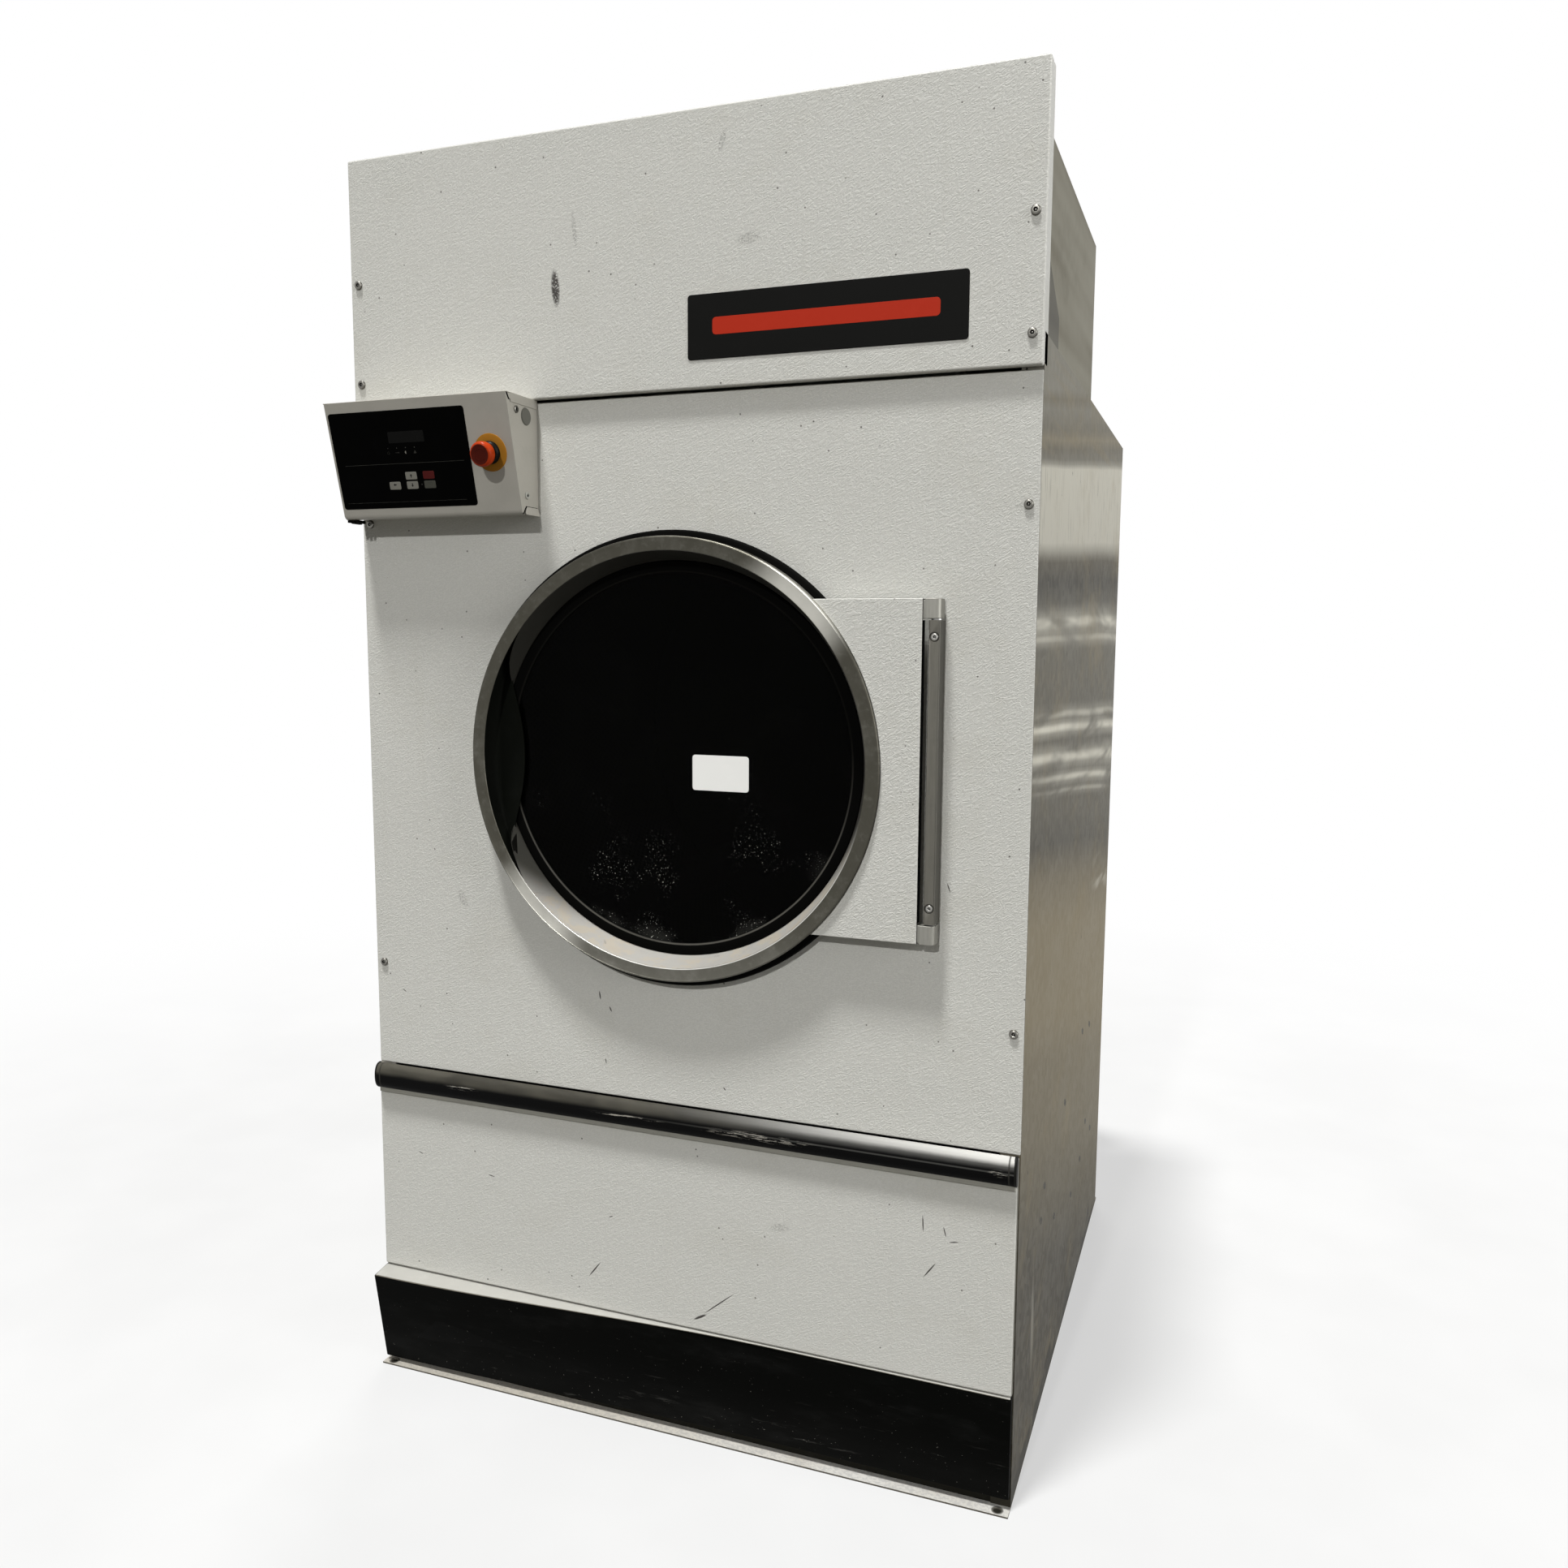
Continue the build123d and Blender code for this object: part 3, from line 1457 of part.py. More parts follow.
def belt_pair(x1, z1, r1, x2, z2, r2, y0):
    """Two belts side by side, seated in the grooves of two pulleys."""
    for side in (-1, 1):
        back = y0 + (pulley_width + side * groove_pitch + belt_width) / 2
        extrude(belt_loop(x1, z1, r1, x2, z2, r2, back), amount=belt_width)
    for side in (-1, 1):
        back = y0 + (pulley_width + side * groove_pitch + belt_width) / 2
        core = belt_loop(x1, z1, r1 - belt_depth, x2, z2, r2 - belt_depth, back)
        extrude(core, amount=belt_width, mode=Mode.SUBTRACT)


with BuildPart() as drive_belts:
    belt_pair(
        0,
        door_z,
        drum_pulley_radius,
        jackshaft_x,
        jackshaft_z,
        jackshaft_pulley_radius,
        drum_pulley_y,
    )
    belt_pair(
        jackshaft_x,
        jackshaft_z,
        idler_radius,
        motor_x,
        motor_z,
        motor_pulley_radius,
        idler_y,
    )
pieces["drive_belts"] = drive_belts

# Drum motor on its shelf, with the pulley on its shaft
motor_y0 = rear + motor_start
motor_y1 = motor_y0 + motor_length
shelf_top = motor_z - motor_radius - motor_foot_height
with BuildPart() as drum_motor:
    rod(motor_x, motor_z, motor_radius - motor_fin_height, motor_y0, motor_y1)
    rod(motor_x, motor_z, motor_radius, motor_y0, motor_y0 + motor_end_cap)
    rod(motor_x, motor_z, motor_radius, motor_y1 - motor_end_cap, motor_y1)
    fin_plane = Plane(origin=(motor_x, motor_y0, motor_z), x_dir=(1, 0, 0), z_dir=(0, 1, 0))
    with BuildSketch(fin_plane):
        with PolarLocations(motor_radius - motor_fin_height, motor_fin_count):
            Rectangle(2 * motor_fin_height, motor_fin_height)
    extrude(amount=motor_length)
    slab(
        motor_x - motor_foot_width / 2,
        motor_x + motor_foot_width / 2,
        motor_y0 + motor_end_cap,
        motor_y1 - motor_end_cap,
        shelf_top,
        motor_z - motor_radius + motor_foot_height,
    )
    rod(motor_x, motor_z, motor_shaft_radius + running_clearance, motor_y0, motor_y1, mode=Mode.SUBTRACT)
pieces["drum_motor"] = drum_motor

motor_shaft_start = motor_y0 + motor_end_cap
with BuildPart() as motor_pulley:
    rod(motor_x, motor_z, motor_pulley_radius, idler_y, idler_y + pulley_width)
    grooved_rim(motor_x, motor_z, motor_pulley_radius, idler_y)
    motor_shaft_end = idler_y + pulley_width + motor_shaft_overhang
    rod(motor_x, motor_z, motor_shaft_radius, motor_shaft_start, motor_shaft_end)
pieces["motor_pulley"] = motor_pulley

with BuildPart() as motor_bracket:
    shelf_x0 = motor_x - motor_shelf_width / 2 + motor_shelf_shift
    shelf_x1 = shelf_x0 + motor_shelf_width
    plate_y0 = wall_back
    plate_y1 = plate_y0 + motor_plate_thickness
    shelf_bottom = shelf_top - motor_shelf_thickness
    slab(shelf_x0, inner - flange - 1, plate_y0, plate_y1, shelf_bottom, shelf_bottom + motor_plate_height)
    slab(shelf_x0, inner - flange - 1, plate_y1, plate_y1 + motor_shelf_depth, shelf_bottom, shelf_top)
    for x0 in (shelf_x0, inner - flange - 1 - motor_plate_thickness):
        with BuildSketch(side_plane(x0)):
            with BuildLine():
                Polyline(
                    (plate_y1, shelf_bottom),
                    (plate_y1 + motor_shelf_depth, shelf_bottom),
                    (plate_y1, shelf_bottom - motor_shelf_depth / 2),
                    close=True,
                )
            make_face()
        extrude(amount=motor_plate_thickness)
    slab(
        shelf_x0,
        inner - flange - 1,
        plate_y0,
        plate_y1,
        shelf_bottom - motor_shelf_depth / 2,
        shelf_bottom,
    )
pieces["motor_bracket"] = motor_bracket

# Blower: scroll with its outlet box and the round exhaust collar that looks to the rear
blower_y0 = wall_back
blower_y1 = blower_y0 + blower_depth
outlet_x0 = blower_x - blower_radius
outlet_x1 = outlet_x0 + blower_outlet_width
exhaust_x = (outlet_x0 + outlet_x1) / 2


def scroll_outline():
    """The round casing of the fan joined to its upright outlet box."""
    with Locations((blower_x, blower_z)):
        Circle(blower_radius)
    with Locations(((outlet_x0 + outlet_x1) / 2, (blower_z + blower_outlet_top) / 2)):
        Rectangle(blower_outlet_width, blower_outlet_top - blower_z)


with BuildPart() as blower_housing:
    with BuildSketch(facing_plane(blower_y1)):
        scroll_outline()
    extrude(amount=blower_depth)
    with BuildSketch(facing_plane(blower_y1 - sheet)):
        scroll_outline()
        offset(amount=-sheet)
    extrude(amount=blower_depth - 2 * sheet, mode=Mode.SUBTRACT)
    rod(blower_x, blower_z, blower_inlet_radius, blower_y0, blower_y0 + sheet, mode=Mode.SUBTRACT)
    rod(blower_x, blower_z, blower_shaft_hole, blower_y1 - sheet, blower_y1, mode=Mode.SUBTRACT)
    rod(exhaust_x, exhaust_z, exhaust_radius, blower_y1 - sheet, blower_y1 + exhaust_length)
    rod(
        exhaust_x,
        exhaust_z,
        exhaust_radius - sheet,
        blower_y1 - sheet,
        blower_y1 + exhaust_length,
        mode=Mode.SUBTRACT,
    )
pieces["blower_housing"] = blower_housing

impeller_y0 = blower_y0 + impeller_front_gap
impeller_y1 = impeller_y0 + impeller_depth
with BuildPart() as blower_impeller:
    rod(blower_x, blower_z, impeller_radius, impeller_y1 - impeller_plate, impeller_y1)
    rod(blower_x, blower_z, impeller_radius, impeller_y0, impeller_y0 + impeller_plate)
    rod(
        blower_x,
        blower_z,
        impeller_eye_radius,
        impeller_y0,
        impeller_y0 + impeller_plate,
        mode=Mode.SUBTRACT,
    )
    blade_plane = Plane(origin=(blower_x, impeller_y0, blower_z), x_dir=(1, 0, 0), z_dir=(0, 1, 0))
    blade_span = impeller_radius - impeller_eye_radius - impeller_blade_gap
    with BuildSketch(blade_plane):
        with PolarLocations(impeller_eye_radius + blade_span / 2, impeller_blades):
            Rectangle(blade_span, blade_thickness, rotation=blade_lean)
    extrude(amount=impeller_depth)
    rod(blower_x, blower_z, impeller_hub_radius, impeller_y1 - impeller_hub_length, impeller_y1)
    shaft_end = blower_y1 + fan_motor_flange
    rod(blower_x, blower_z, fan_shaft_radius, impeller_y1 - impeller_hub_length, shaft_end)
pieces["blower_impeller"] = blower_impeller

with BuildPart() as fan_motor:
    motor_face = blower_y1
    rod(blower_x, blower_z, fan_motor_flange_radius, motor_face, motor_face + fan_motor_flange)
    body_y = motor_face + fan_motor_flange
    rod(blower_x, blower_z, fan_motor_radius - motor_fin_height, body_y, body_y + fan_motor_length)
    rod(blower_x, blower_z, fan_motor_radius, body_y, body_y + motor_end_cap)
    rod(
        blower_x,
        blower_z,
        fan_motor_radius,
        body_y + fan_motor_length - motor_end_cap,
        body_y + fan_motor_length,
    )
    with BuildSketch(Plane(origin=(blower_x, body_y, blower_z), x_dir=(1, 0, 0), z_dir=(0, 1, 0))):
        with PolarLocations(fan_motor_radius - motor_fin_height, motor_fin_count):
            Rectangle(2 * motor_fin_height, motor_fin_height)
    extrude(amount=fan_motor_length)
    rod(
        blower_x,
        blower_z,
        fan_shaft_radius + running_clearance,
        motor_face,
        body_y + touch,
        mode=Mode.SUBTRACT,
    )
pieces["fan_motor"] = fan_motor

# Heater box on the cabinet top, open below, with air slots at the back
heater_half = half - heater_side_gap
heater_y0 = front + heater_front_gap
heater_y1 = front + heater_depth
heater_z0 = cabinet_top
heater_z1 = cabinet_top + heater_height
burner_z = cabinet_top + burner_z_above
with BuildPart() as heater_housing:
    slab(-heater_half, heater_half, heater_y0, heater_y1, heater_z0, heater_z1)
    slab(
        -heater_half + sheet,
        heater_half - sheet,
        heater_y0 + sheet,
        heater_y1 - sheet,
        heater_z0,
        heater_z1 - sheet,
        mode=Mode.SUBTRACT,
    )
    for side in (-1, 1):
        for row in range(heater_slot_count):
            slot_z = burner_z + heater_slot_first + row * heater_slot_pitch
            slot_x = side * heater_half / 2
            slab(
                slot_x - heater_slot_width,
                slot_x + heater_slot_width,
                heater_y1 - sheet,
                heater_y1,
                slot_z - heater_slot_height / 2,
                slot_z + heater_slot_height / 2,
                mode=Mode.SUBTRACT,
            )
    rod(gas_x, burner_z, gas_pipe_radius, heater_y1 - sheet, heater_y1, mode=Mode.SUBTRACT)
pieces["heater_housing"] = heater_housing

# Burner tubes on two cross bars
burner_y0 = front + burner_from_front
burner_y1 = burner_y0 + burner_length
bar_reach = heater_half - sheet
with BuildPart() as burners:
    tube_spots = [(index - (burner_count - 1) / 2) * burner_pitch for index in range(burner_count)]
    for x in tube_spots:
        rod(x, burner_z, burner_radius, burner_y0, burner_y1)
    for y0 in (burner_y0 + burner_bar_inset, burner_y1 - burner_bar_inset - burner_bar):
        slab(
            -bar_reach,
            bar_reach,
            y0,
            y0 + burner_bar,
            burner_z - burner_radius - burner_bar,
            burner_z - burner_radius + burner_wall,
        )
    for x in tube_spots:
        rod(
            x,
            burner_z,
            burner_radius - burner_wall,
            burner_y0 + burner_wall,
            burner_y1,
            mode=Mode.SUBTRACT,
        )
pieces["burners"] = burners

# Gas manifold with a spud for each burner, and the pipe that leads out to the valve
manifold_y = burner_y1 + spud_gap + manifold_radius + manifold_gap
manifold_half = (burner_count - 1) / 2 * burner_pitch + manifold_overhang
valve_y0 = heater_y1 + gas_valve_from_wall
with BuildPart() as gas_manifold:
    with BuildSketch(side_plane(-manifold_half)):
        with Locations((manifold_y, burner_z)):
            Circle(manifold_radius)
    extrude(amount=2 * manifold_half)
    for x in tube_spots:
        rod(x, burner_z, spud_radius, burner_y1 - spud_gap, manifold_y)
    rod(gas_x, burner_z, gas_pipe_radius, manifold_y, valve_y0)
pieces["gas_manifold"] = gas_manifold

with BuildPart() as gas_valve:
    valve_y1 = valve_y0 + gas_valve_length
    slab(
        gas_x - gas_valve_width / 2,
        gas_x + gas_valve_width / 2,
        valve_y0,
        valve_y1,
        burner_z - gas_valve_height / 2,
        burner_z + gas_valve_height / 2,
    )
    vertical = gas_valve.edges().filter_by(Axis.Z)
    fillet(vertical, radius=gas_valve_corner)
    valve_middle = (valve_y0 + valve_y1) / 2
    for y in (valve_middle - gas_coil_pitch / 2, valve_middle + gas_coil_pitch / 2):
        with BuildSketch(Plane.XY.offset(burner_z + gas_valve_height / 2)):
            with Locations((gas_x, y)):
                Circle(gas_coil_radius)
        extrude(amount=gas_coil_height)
    rod(gas_x, burner_z, gas_collar_radius, valve_y1, valve_y1 + gas_collar_length)
    rod(gas_x, burner_z, gas_thread_radius, valve_y1, valve_y1 + gas_inlet_length)
pieces["gas_valve"] = gas_valve

# Electrical junction box on the rear wall, open inside, with a conduit hole on top
box_y1 = wall_back + box_depth
with BuildPart() as junction_box:
    box_right = box_left + box_width
    slab(box_left, box_right, wall_back, box_y1, box_bottom, box_bottom + box_height)
    slab(
        box_left + box_sheet,
        box_right - box_sheet,
        wall_back + box_sheet,
        box_y1 - box_sheet,
        box_bottom + box_sheet,
        box_bottom + box_height - box_sheet,
        mode=Mode.SUBTRACT,
    )
    with BuildSketch(Plane.XY.offset(box_bottom + box_height)):
        with Locations(((box_left + box_right) / 2, wall_back + conduit_from_wall)):
            Circle(conduit_hole_radius)
    extrude(amount=-box_sheet, mode=Mode.SUBTRACT)
pieces["junction_box"] = junction_box

os.makedirs("parts", exist_ok=True)
for name, piece in pieces.items():
    piece.part.label = name
    export_step(piece.part, f"parts/{name}.step")
print(len(pieces), "pieces written")
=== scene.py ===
import json
import math
from functools import reduce

import bmesh
import bpy
import numpy as np
from mathutils import Matrix, Vector


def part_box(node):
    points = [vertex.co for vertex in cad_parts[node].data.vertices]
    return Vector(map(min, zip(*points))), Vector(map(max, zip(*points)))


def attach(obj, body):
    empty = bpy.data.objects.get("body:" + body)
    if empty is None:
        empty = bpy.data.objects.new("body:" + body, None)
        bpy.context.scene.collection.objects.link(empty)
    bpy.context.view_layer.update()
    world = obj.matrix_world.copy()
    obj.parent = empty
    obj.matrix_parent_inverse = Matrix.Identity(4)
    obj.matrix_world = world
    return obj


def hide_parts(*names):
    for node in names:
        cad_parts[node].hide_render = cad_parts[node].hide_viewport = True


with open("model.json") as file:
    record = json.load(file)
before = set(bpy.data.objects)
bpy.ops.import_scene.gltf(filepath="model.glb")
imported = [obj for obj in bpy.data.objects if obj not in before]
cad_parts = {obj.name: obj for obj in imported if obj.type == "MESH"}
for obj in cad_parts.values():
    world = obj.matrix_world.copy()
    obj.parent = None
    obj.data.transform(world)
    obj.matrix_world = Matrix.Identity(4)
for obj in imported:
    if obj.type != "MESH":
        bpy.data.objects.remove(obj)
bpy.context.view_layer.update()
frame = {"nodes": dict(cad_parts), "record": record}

MM = 0.001
TURN = 2 * math.pi
RIGHT = np.array((1.0, 0.0, 0.0))
BACK = np.array((0.0, 1.0, 0.0))
UP = np.array((0.0, 0.0, 1.0))
WELD = 1e-6  # points closer than this are one point
SHARP = 32.0  # angle between two faces, in degrees, from which their edge stays sharp
CALM = 0.6 * MM  # a row this far inside a rounded edge keeps the shading of the flat face level
SHEET = 2 * MM  # thickness of the painted sheet metal
LEVEL_TOP = 1.8  # height that stands for 1 in the side panel's ramp of tones, which are painted reflections
LEVEL_BAND = 1.34  # height of the painted reflection band on the side panel that runs level
BAND_SPREAD = 0.45  # share by which the other bands draw away from it, for each metre of depth
ANCHOR_X, ANCHOR_Y = 0.5695, 0.5875  # the anchor holes' distances from the middle planes
PANEL_EDGE = 0.585  # faces further out than this are the side returns of the front sheets


def reach(node):
    """Lowest and highest corner of a CAD node, as arrays."""
    low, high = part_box(node)
    return np.array(low), np.array(high)


# Radii round the door's axis
DRUM_RADIUS = 557 * MM
OPENING_RADIUS = 350 * MM
BAND_INNER = 335 * MM
CONE_INNER = 321.5 * MM
GLASS_RADIUS = 312 * MM
GASKET_INNER = 302 * MM

# Places that many pieces share, read from the frame
panel_low, panel_high = reach("main_front_panel")
FRONT = panel_low[1]
bumper_low, bumper_high = reach("bumper_cover")
BUMPER_FOOT, BUMPER_TOP = float(bumper_low[2]) + 2.5 * MM, float(bumper_high[2]) + 4.5 * MM
glass_low, glass_high = reach("door_glass")
door_center = np.array(((glass_low[0] + glass_high[0]) / 2, FRONT, (glass_low[2] + glass_high[2]) / 2))


# Camera at the photograph's viewing angle, lens in millimetres on a 36 mm square sensor
CAMERA_PLACE = (0.8762, -2.3974, 1.3599)
CAMERA_YAW, CAMERA_PITCH, CAMERA_ROLL = math.radians(20.34), math.radians(-6.72), math.radians(-0.36)
camera_data = bpy.data.cameras.new("camera")
camera_data.sensor_width = 36.0
camera_data.lens = 28.55
camera = bpy.data.objects.new("camera", camera_data)
bpy.context.scene.collection.objects.link(camera)
look = Matrix.Rotation(CAMERA_YAW, 3, "Z") @ Matrix.Rotation(CAMERA_PITCH, 3, "X")
look = look @ Matrix.Rotation(CAMERA_ROLL, 3, "Y") @ Matrix.Rotation(math.radians(90), 3, "X")
camera.matrix_world = Matrix.Translation(CAMERA_PLACE) @ look.to_4x4()
bpy.context.scene.camera = camera
bpy.context.scene.view_settings.view_transform = "Standard"


class Signal:
    """A shader socket used in sums: each operator adds the Math node that works it out."""

    def __init__(self, network, socket):
        self.network, self.socket = network, socket

    def maths(self, operation, *terms):
        node = self.network.node("ShaderNodeMath", {"operation": operation}, dict(enumerate(terms)))
        return Signal(self.network, node.outputs[0])

    def __add__(self, other):
        return self.maths("ADD", self, other)

    def __sub__(self, other):
        return self.maths("SUBTRACT", self, other)

    def __rsub__(self, other):
        return self.maths("SUBTRACT", other, self)

    def __mul__(self, other):
        return self.maths("MULTIPLY", self, other)

    def __truediv__(self, other):
        return self.maths("DIVIDE", self, other)

    def __pow__(self, other):
        return self.maths("POWER", self, other)

    def __abs__(self):
        return self.maths("ABSOLUTE", self)

    def larger(self, other):
        return self.maths("MAXIMUM", self, other)

    def smaller(self, other):
        return self.maths("MINIMUM", self, other)

    def rise(self, low, high, start=0.0, end=1.0):
        """start below low, end above high, and a smooth step between them."""
        values = {"Value": self, "From Min": low, "From Max": high, "To Min": start, "To Max": end}
        node = self.network.node("ShaderNodeMapRange", {"interpolation_type": "SMOOTHSTEP"}, values)
        return Signal(self.network, node.outputs[0])


class Network:
    """A node tree that is filled one node at a time."""

    def __init__(self, tree):
        self.tree = tree
        self.tree.nodes.clear()

    def node(self, kind, settings=None, values=None):
        """A node of that type: its settings first, then the numbers or links of its sockets."""
        node = self.tree.nodes.new(kind)
        settings = dict(settings or {})
        stops = settings.pop("stops", None)
        for key, value in settings.items():
            setattr(node, key, value)
        if stops:
            ramp = node.color_ramp
            while len(ramp.elements) < len(stops):
                ramp.elements.new(1.0)
            for element, (position, color) in zip(ramp.elements, stops):
                element.position = position
                element.color = (*color, 1.0)
        for key, value in (values or {}).items():
            if isinstance(value, Signal):
                value = value.socket
            if isinstance(value, bpy.types.NodeSocket):
                self.tree.links.new(value, node.inputs[key])
            elif isinstance(value, tuple) and node.inputs[key].type == "RGBA":
                node.inputs[key].default_value = (*value, 1.0)
            else:
                node.inputs[key].default_value = value
        return node

    def shown(self):
        """1 for rays that come from the camera, from a glossy surface or through glass, and else 0."""
        path = self.node("ShaderNodeLightPath")
        kinds = ("Is Camera Ray", "Is Glossy Ray", "Is Transmission Ray")
        return largest([Signal(self, path.outputs[kind]) for kind in kinds])


class Finish(Network):
    """One material: a Principled shader and the nodes that feed it."""

    def __init__(self, name):
        self.material = bpy.data.materials.new(name)
        self.material.use_nodes = True
        super().__init__(self.material.node_tree)
        self.shader = self.node("ShaderNodeBsdfPrincipled")
        self.output = self.node("ShaderNodeOutputMaterial", values={"Surface": self.shader.outputs[0]})
        self.place = self.node("ShaderNodeTexCoord").outputs["Object"]

    def laid(self, size=(1, 1, 1), turn=(0, 0, 0), shift=(0, 0, 0)):
        """Object coordinates measured in steps of size metres along axes turned by those degrees."""
        values = {"Vector": self.place, "Location": shift, "Scale": size}
        values["Rotation"] = tuple(math.radians(angle) for angle in turn)
        return self.node("ShaderNodeMapping", {"vector_type": "TEXTURE"}, values).outputs[0]

    def noise(self, size, detail=2.0, rough=0.5, warp=0.0, turn=(0, 0, 0)):
        """Fractal noise with features of that size in metres, one number or three."""
        if not isinstance(size, tuple):
            size = (size, size, size)
        values = {"Vector": self.laid(size, turn), "Scale": 1.0, "Detail": detail}
        values.update({"Roughness": rough, "Distortion": warp})
        return Signal(self, self.node("ShaderNodeTexNoise", None, values).outputs[0])

    def cells(self, size, output=0):
        """Distance to the middle (output 0), or the colour (output 1), of irregular cells of that size."""
        values = {"Vector": self.laid((size, size, size)), "Scale": 1.0}
        return Signal(self, self.node("ShaderNodeTexVoronoi", None, values).outputs[output])

    def along(self, axis):
        """The Object coordinate along X, Y or Z, in metres."""
        node = self.node("ShaderNodeSeparateXYZ", None, {"Vector": self.place})
        return Signal(self, node.outputs[axis])

    def round_door(self):
        """Distances across and up from the door's middle, and the distance from its axis."""
        x = self.along("X") - float(door_center[0])
        z = self.along("Z") - float(door_center[2])
        return x, z, (x * x + z * z) ** 0.5

    def distance(self, size, shift, turn=(0, 0, 0)):
        """Distance from a point in units of size: 1 on the ellipsoid with those half axes."""
        vector = self.laid(size, turn, shift)
        node = self.node("ShaderNodeVectorMath", {"operation": "LENGTH"}, {0: vector})
        return Signal(self, node.outputs["Value"])

    def mix(self, mask, low, high):
        """Colour low where the mask is 0 and high where it is 1."""
        node = self.node("ShaderNodeMix", {"data_type": "RGBA"}, {0: mask, 6: low, 7: high})
        return node.outputs[2]

    def ramp(self, signal, *stops):
        """The colours of the stops, read at the signal."""
        return self.node("ShaderNodeValToRGB", {"stops": stops}, {"Fac": signal}).outputs[0]

    def bump(self, height, depth, below=None):
        """Normals of a relief: height from 0 to 1 stands for depth metres."""
        values = {"Height": height, "Distance": depth, "Strength": 1.0}
        if below is not None:
            values["Normal"] = below
        return self.node("ShaderNodeBump", None, values).outputs[0]

    def surface(self, **values):
        """Sets the shader's own sockets, written with _ for a space."""
        for key, value in values.items():
            socket = self.shader.inputs[key.replace("_", " ")]
            if isinstance(value, Signal):
                value = value.socket
            if isinstance(value, bpy.types.NodeSocket):
                self.tree.links.new(value, socket)
            elif isinstance(value, tuple):
                socket.default_value = (*value, 1.0)
            else:
                socket.default_value = value
        return self.material


class Outline:
    """A closed flat outline whose corners are arcs, which can be drawn in by any distance.

    With d the distance inwards, r the corner's radius, C the arc's middle, n the direction outwards
    and b the mitre, an outer corner's points are C + max(r - d, 0) n - max(d - r, 0) b. An inner
    corner has a negative radius and its points are C + (r - d) n, so its arc grows.
    """

    def __init__(self, corners, radius=0.0, arc=5):
        corners = np.asarray(corners, float)
        ahead = np.roll(corners, -1, 0) - corners
        ahead /= np.linalg.norm(ahead, axis=1)[:, None]
        behind = np.roll(ahead, 1, 0)
        before = np.stack((behind[:, 1], -behind[:, 0]), 1)
        after = np.stack((ahead[:, 1], -ahead[:, 0]), 1)
        cosine = (before * after).sum(1)
        sine = behind[:, 0] * ahead[:, 1] - behind[:, 1] * ahead[:, 0]
        sign = np.where(sine < -WELD, -1.0, 1.0)
        mitre = (before + after) / (1 + cosine)[:, None]
        radius = sign * np.broadcast_to(radius, len(corners))
        start = np.arctan2(before[:, 1], before[:, 0])
        sweep = np.arctan2(sine, cosine)
        angle = start[:, None] + sweep[:, None] * np.linspace(0, 1, arc)
        self.direction = np.stack((np.cos(angle), np.sin(angle)), -1).reshape(-1, 2)
        self.radius = np.repeat(radius, arc)[:, None]
        self.mitre = np.repeat(mitre, arc, 0)
        self.center = np.repeat(corners - radius[:, None] * mitre, arc, 0)

    def inside(self, distance):
        """The outline's points, drawn in by that distance."""
        left = self.radius - distance
        outer = self.center + np.maximum(left, 0) * self.direction - np.maximum(-left, 0) * self.mitre
        return np.where(self.radius < 0, self.center + left * self.direction, outer)


def rectangle(x0, x1, z0, z1, radius=0.0, arc=5, step=None, stops=()):
    """A rectangle's outline, anticlockwise, with more points along its sides where step or stops ask."""

    def side(first, last, extra=()):
        count = max(1, round(abs(last - first) / step)) if step else 1
        points = set(np.linspace(first, last, count + 1)[:-1].tolist()) | set(extra)
        return sorted(points, reverse=last < first)

    corners = [(x, z0) for x in side(x0, x1)]
    corners += [(x1, z) for z in side(z0, z1, stops)]
    corners += [(x, z1) for x in side(x1, x0)]
    corners += [(x0, z) for z in side(z1, z0, stops)]
    return Outline(corners, radius, arc)


class Bench:
    """A flat working plane in space: a point, two directions in it and the one it is built up along."""

    def __init__(self, origin, across=RIGHT, up=UP, out=BACK):
        self.origin, self.across, self.up, self.out = map(np.asarray, (origin, across, up, out))

    def moved(self, across=0.0, up=0.0, out=0.0):
        """The same plane with its origin moved by those distances along its own directions."""
        origin = self.origin + across * self.across + up * self.up + out * self.out
        return Bench(origin, self.across, self.up, self.out)

    def at(self, flat, height):
        height = np.broadcast_to(np.asarray(height, float), flat.shape[:-1])[..., None]
        return self.origin + flat[..., :1] * self.across + flat[..., 1:] * self.up + height * self.out


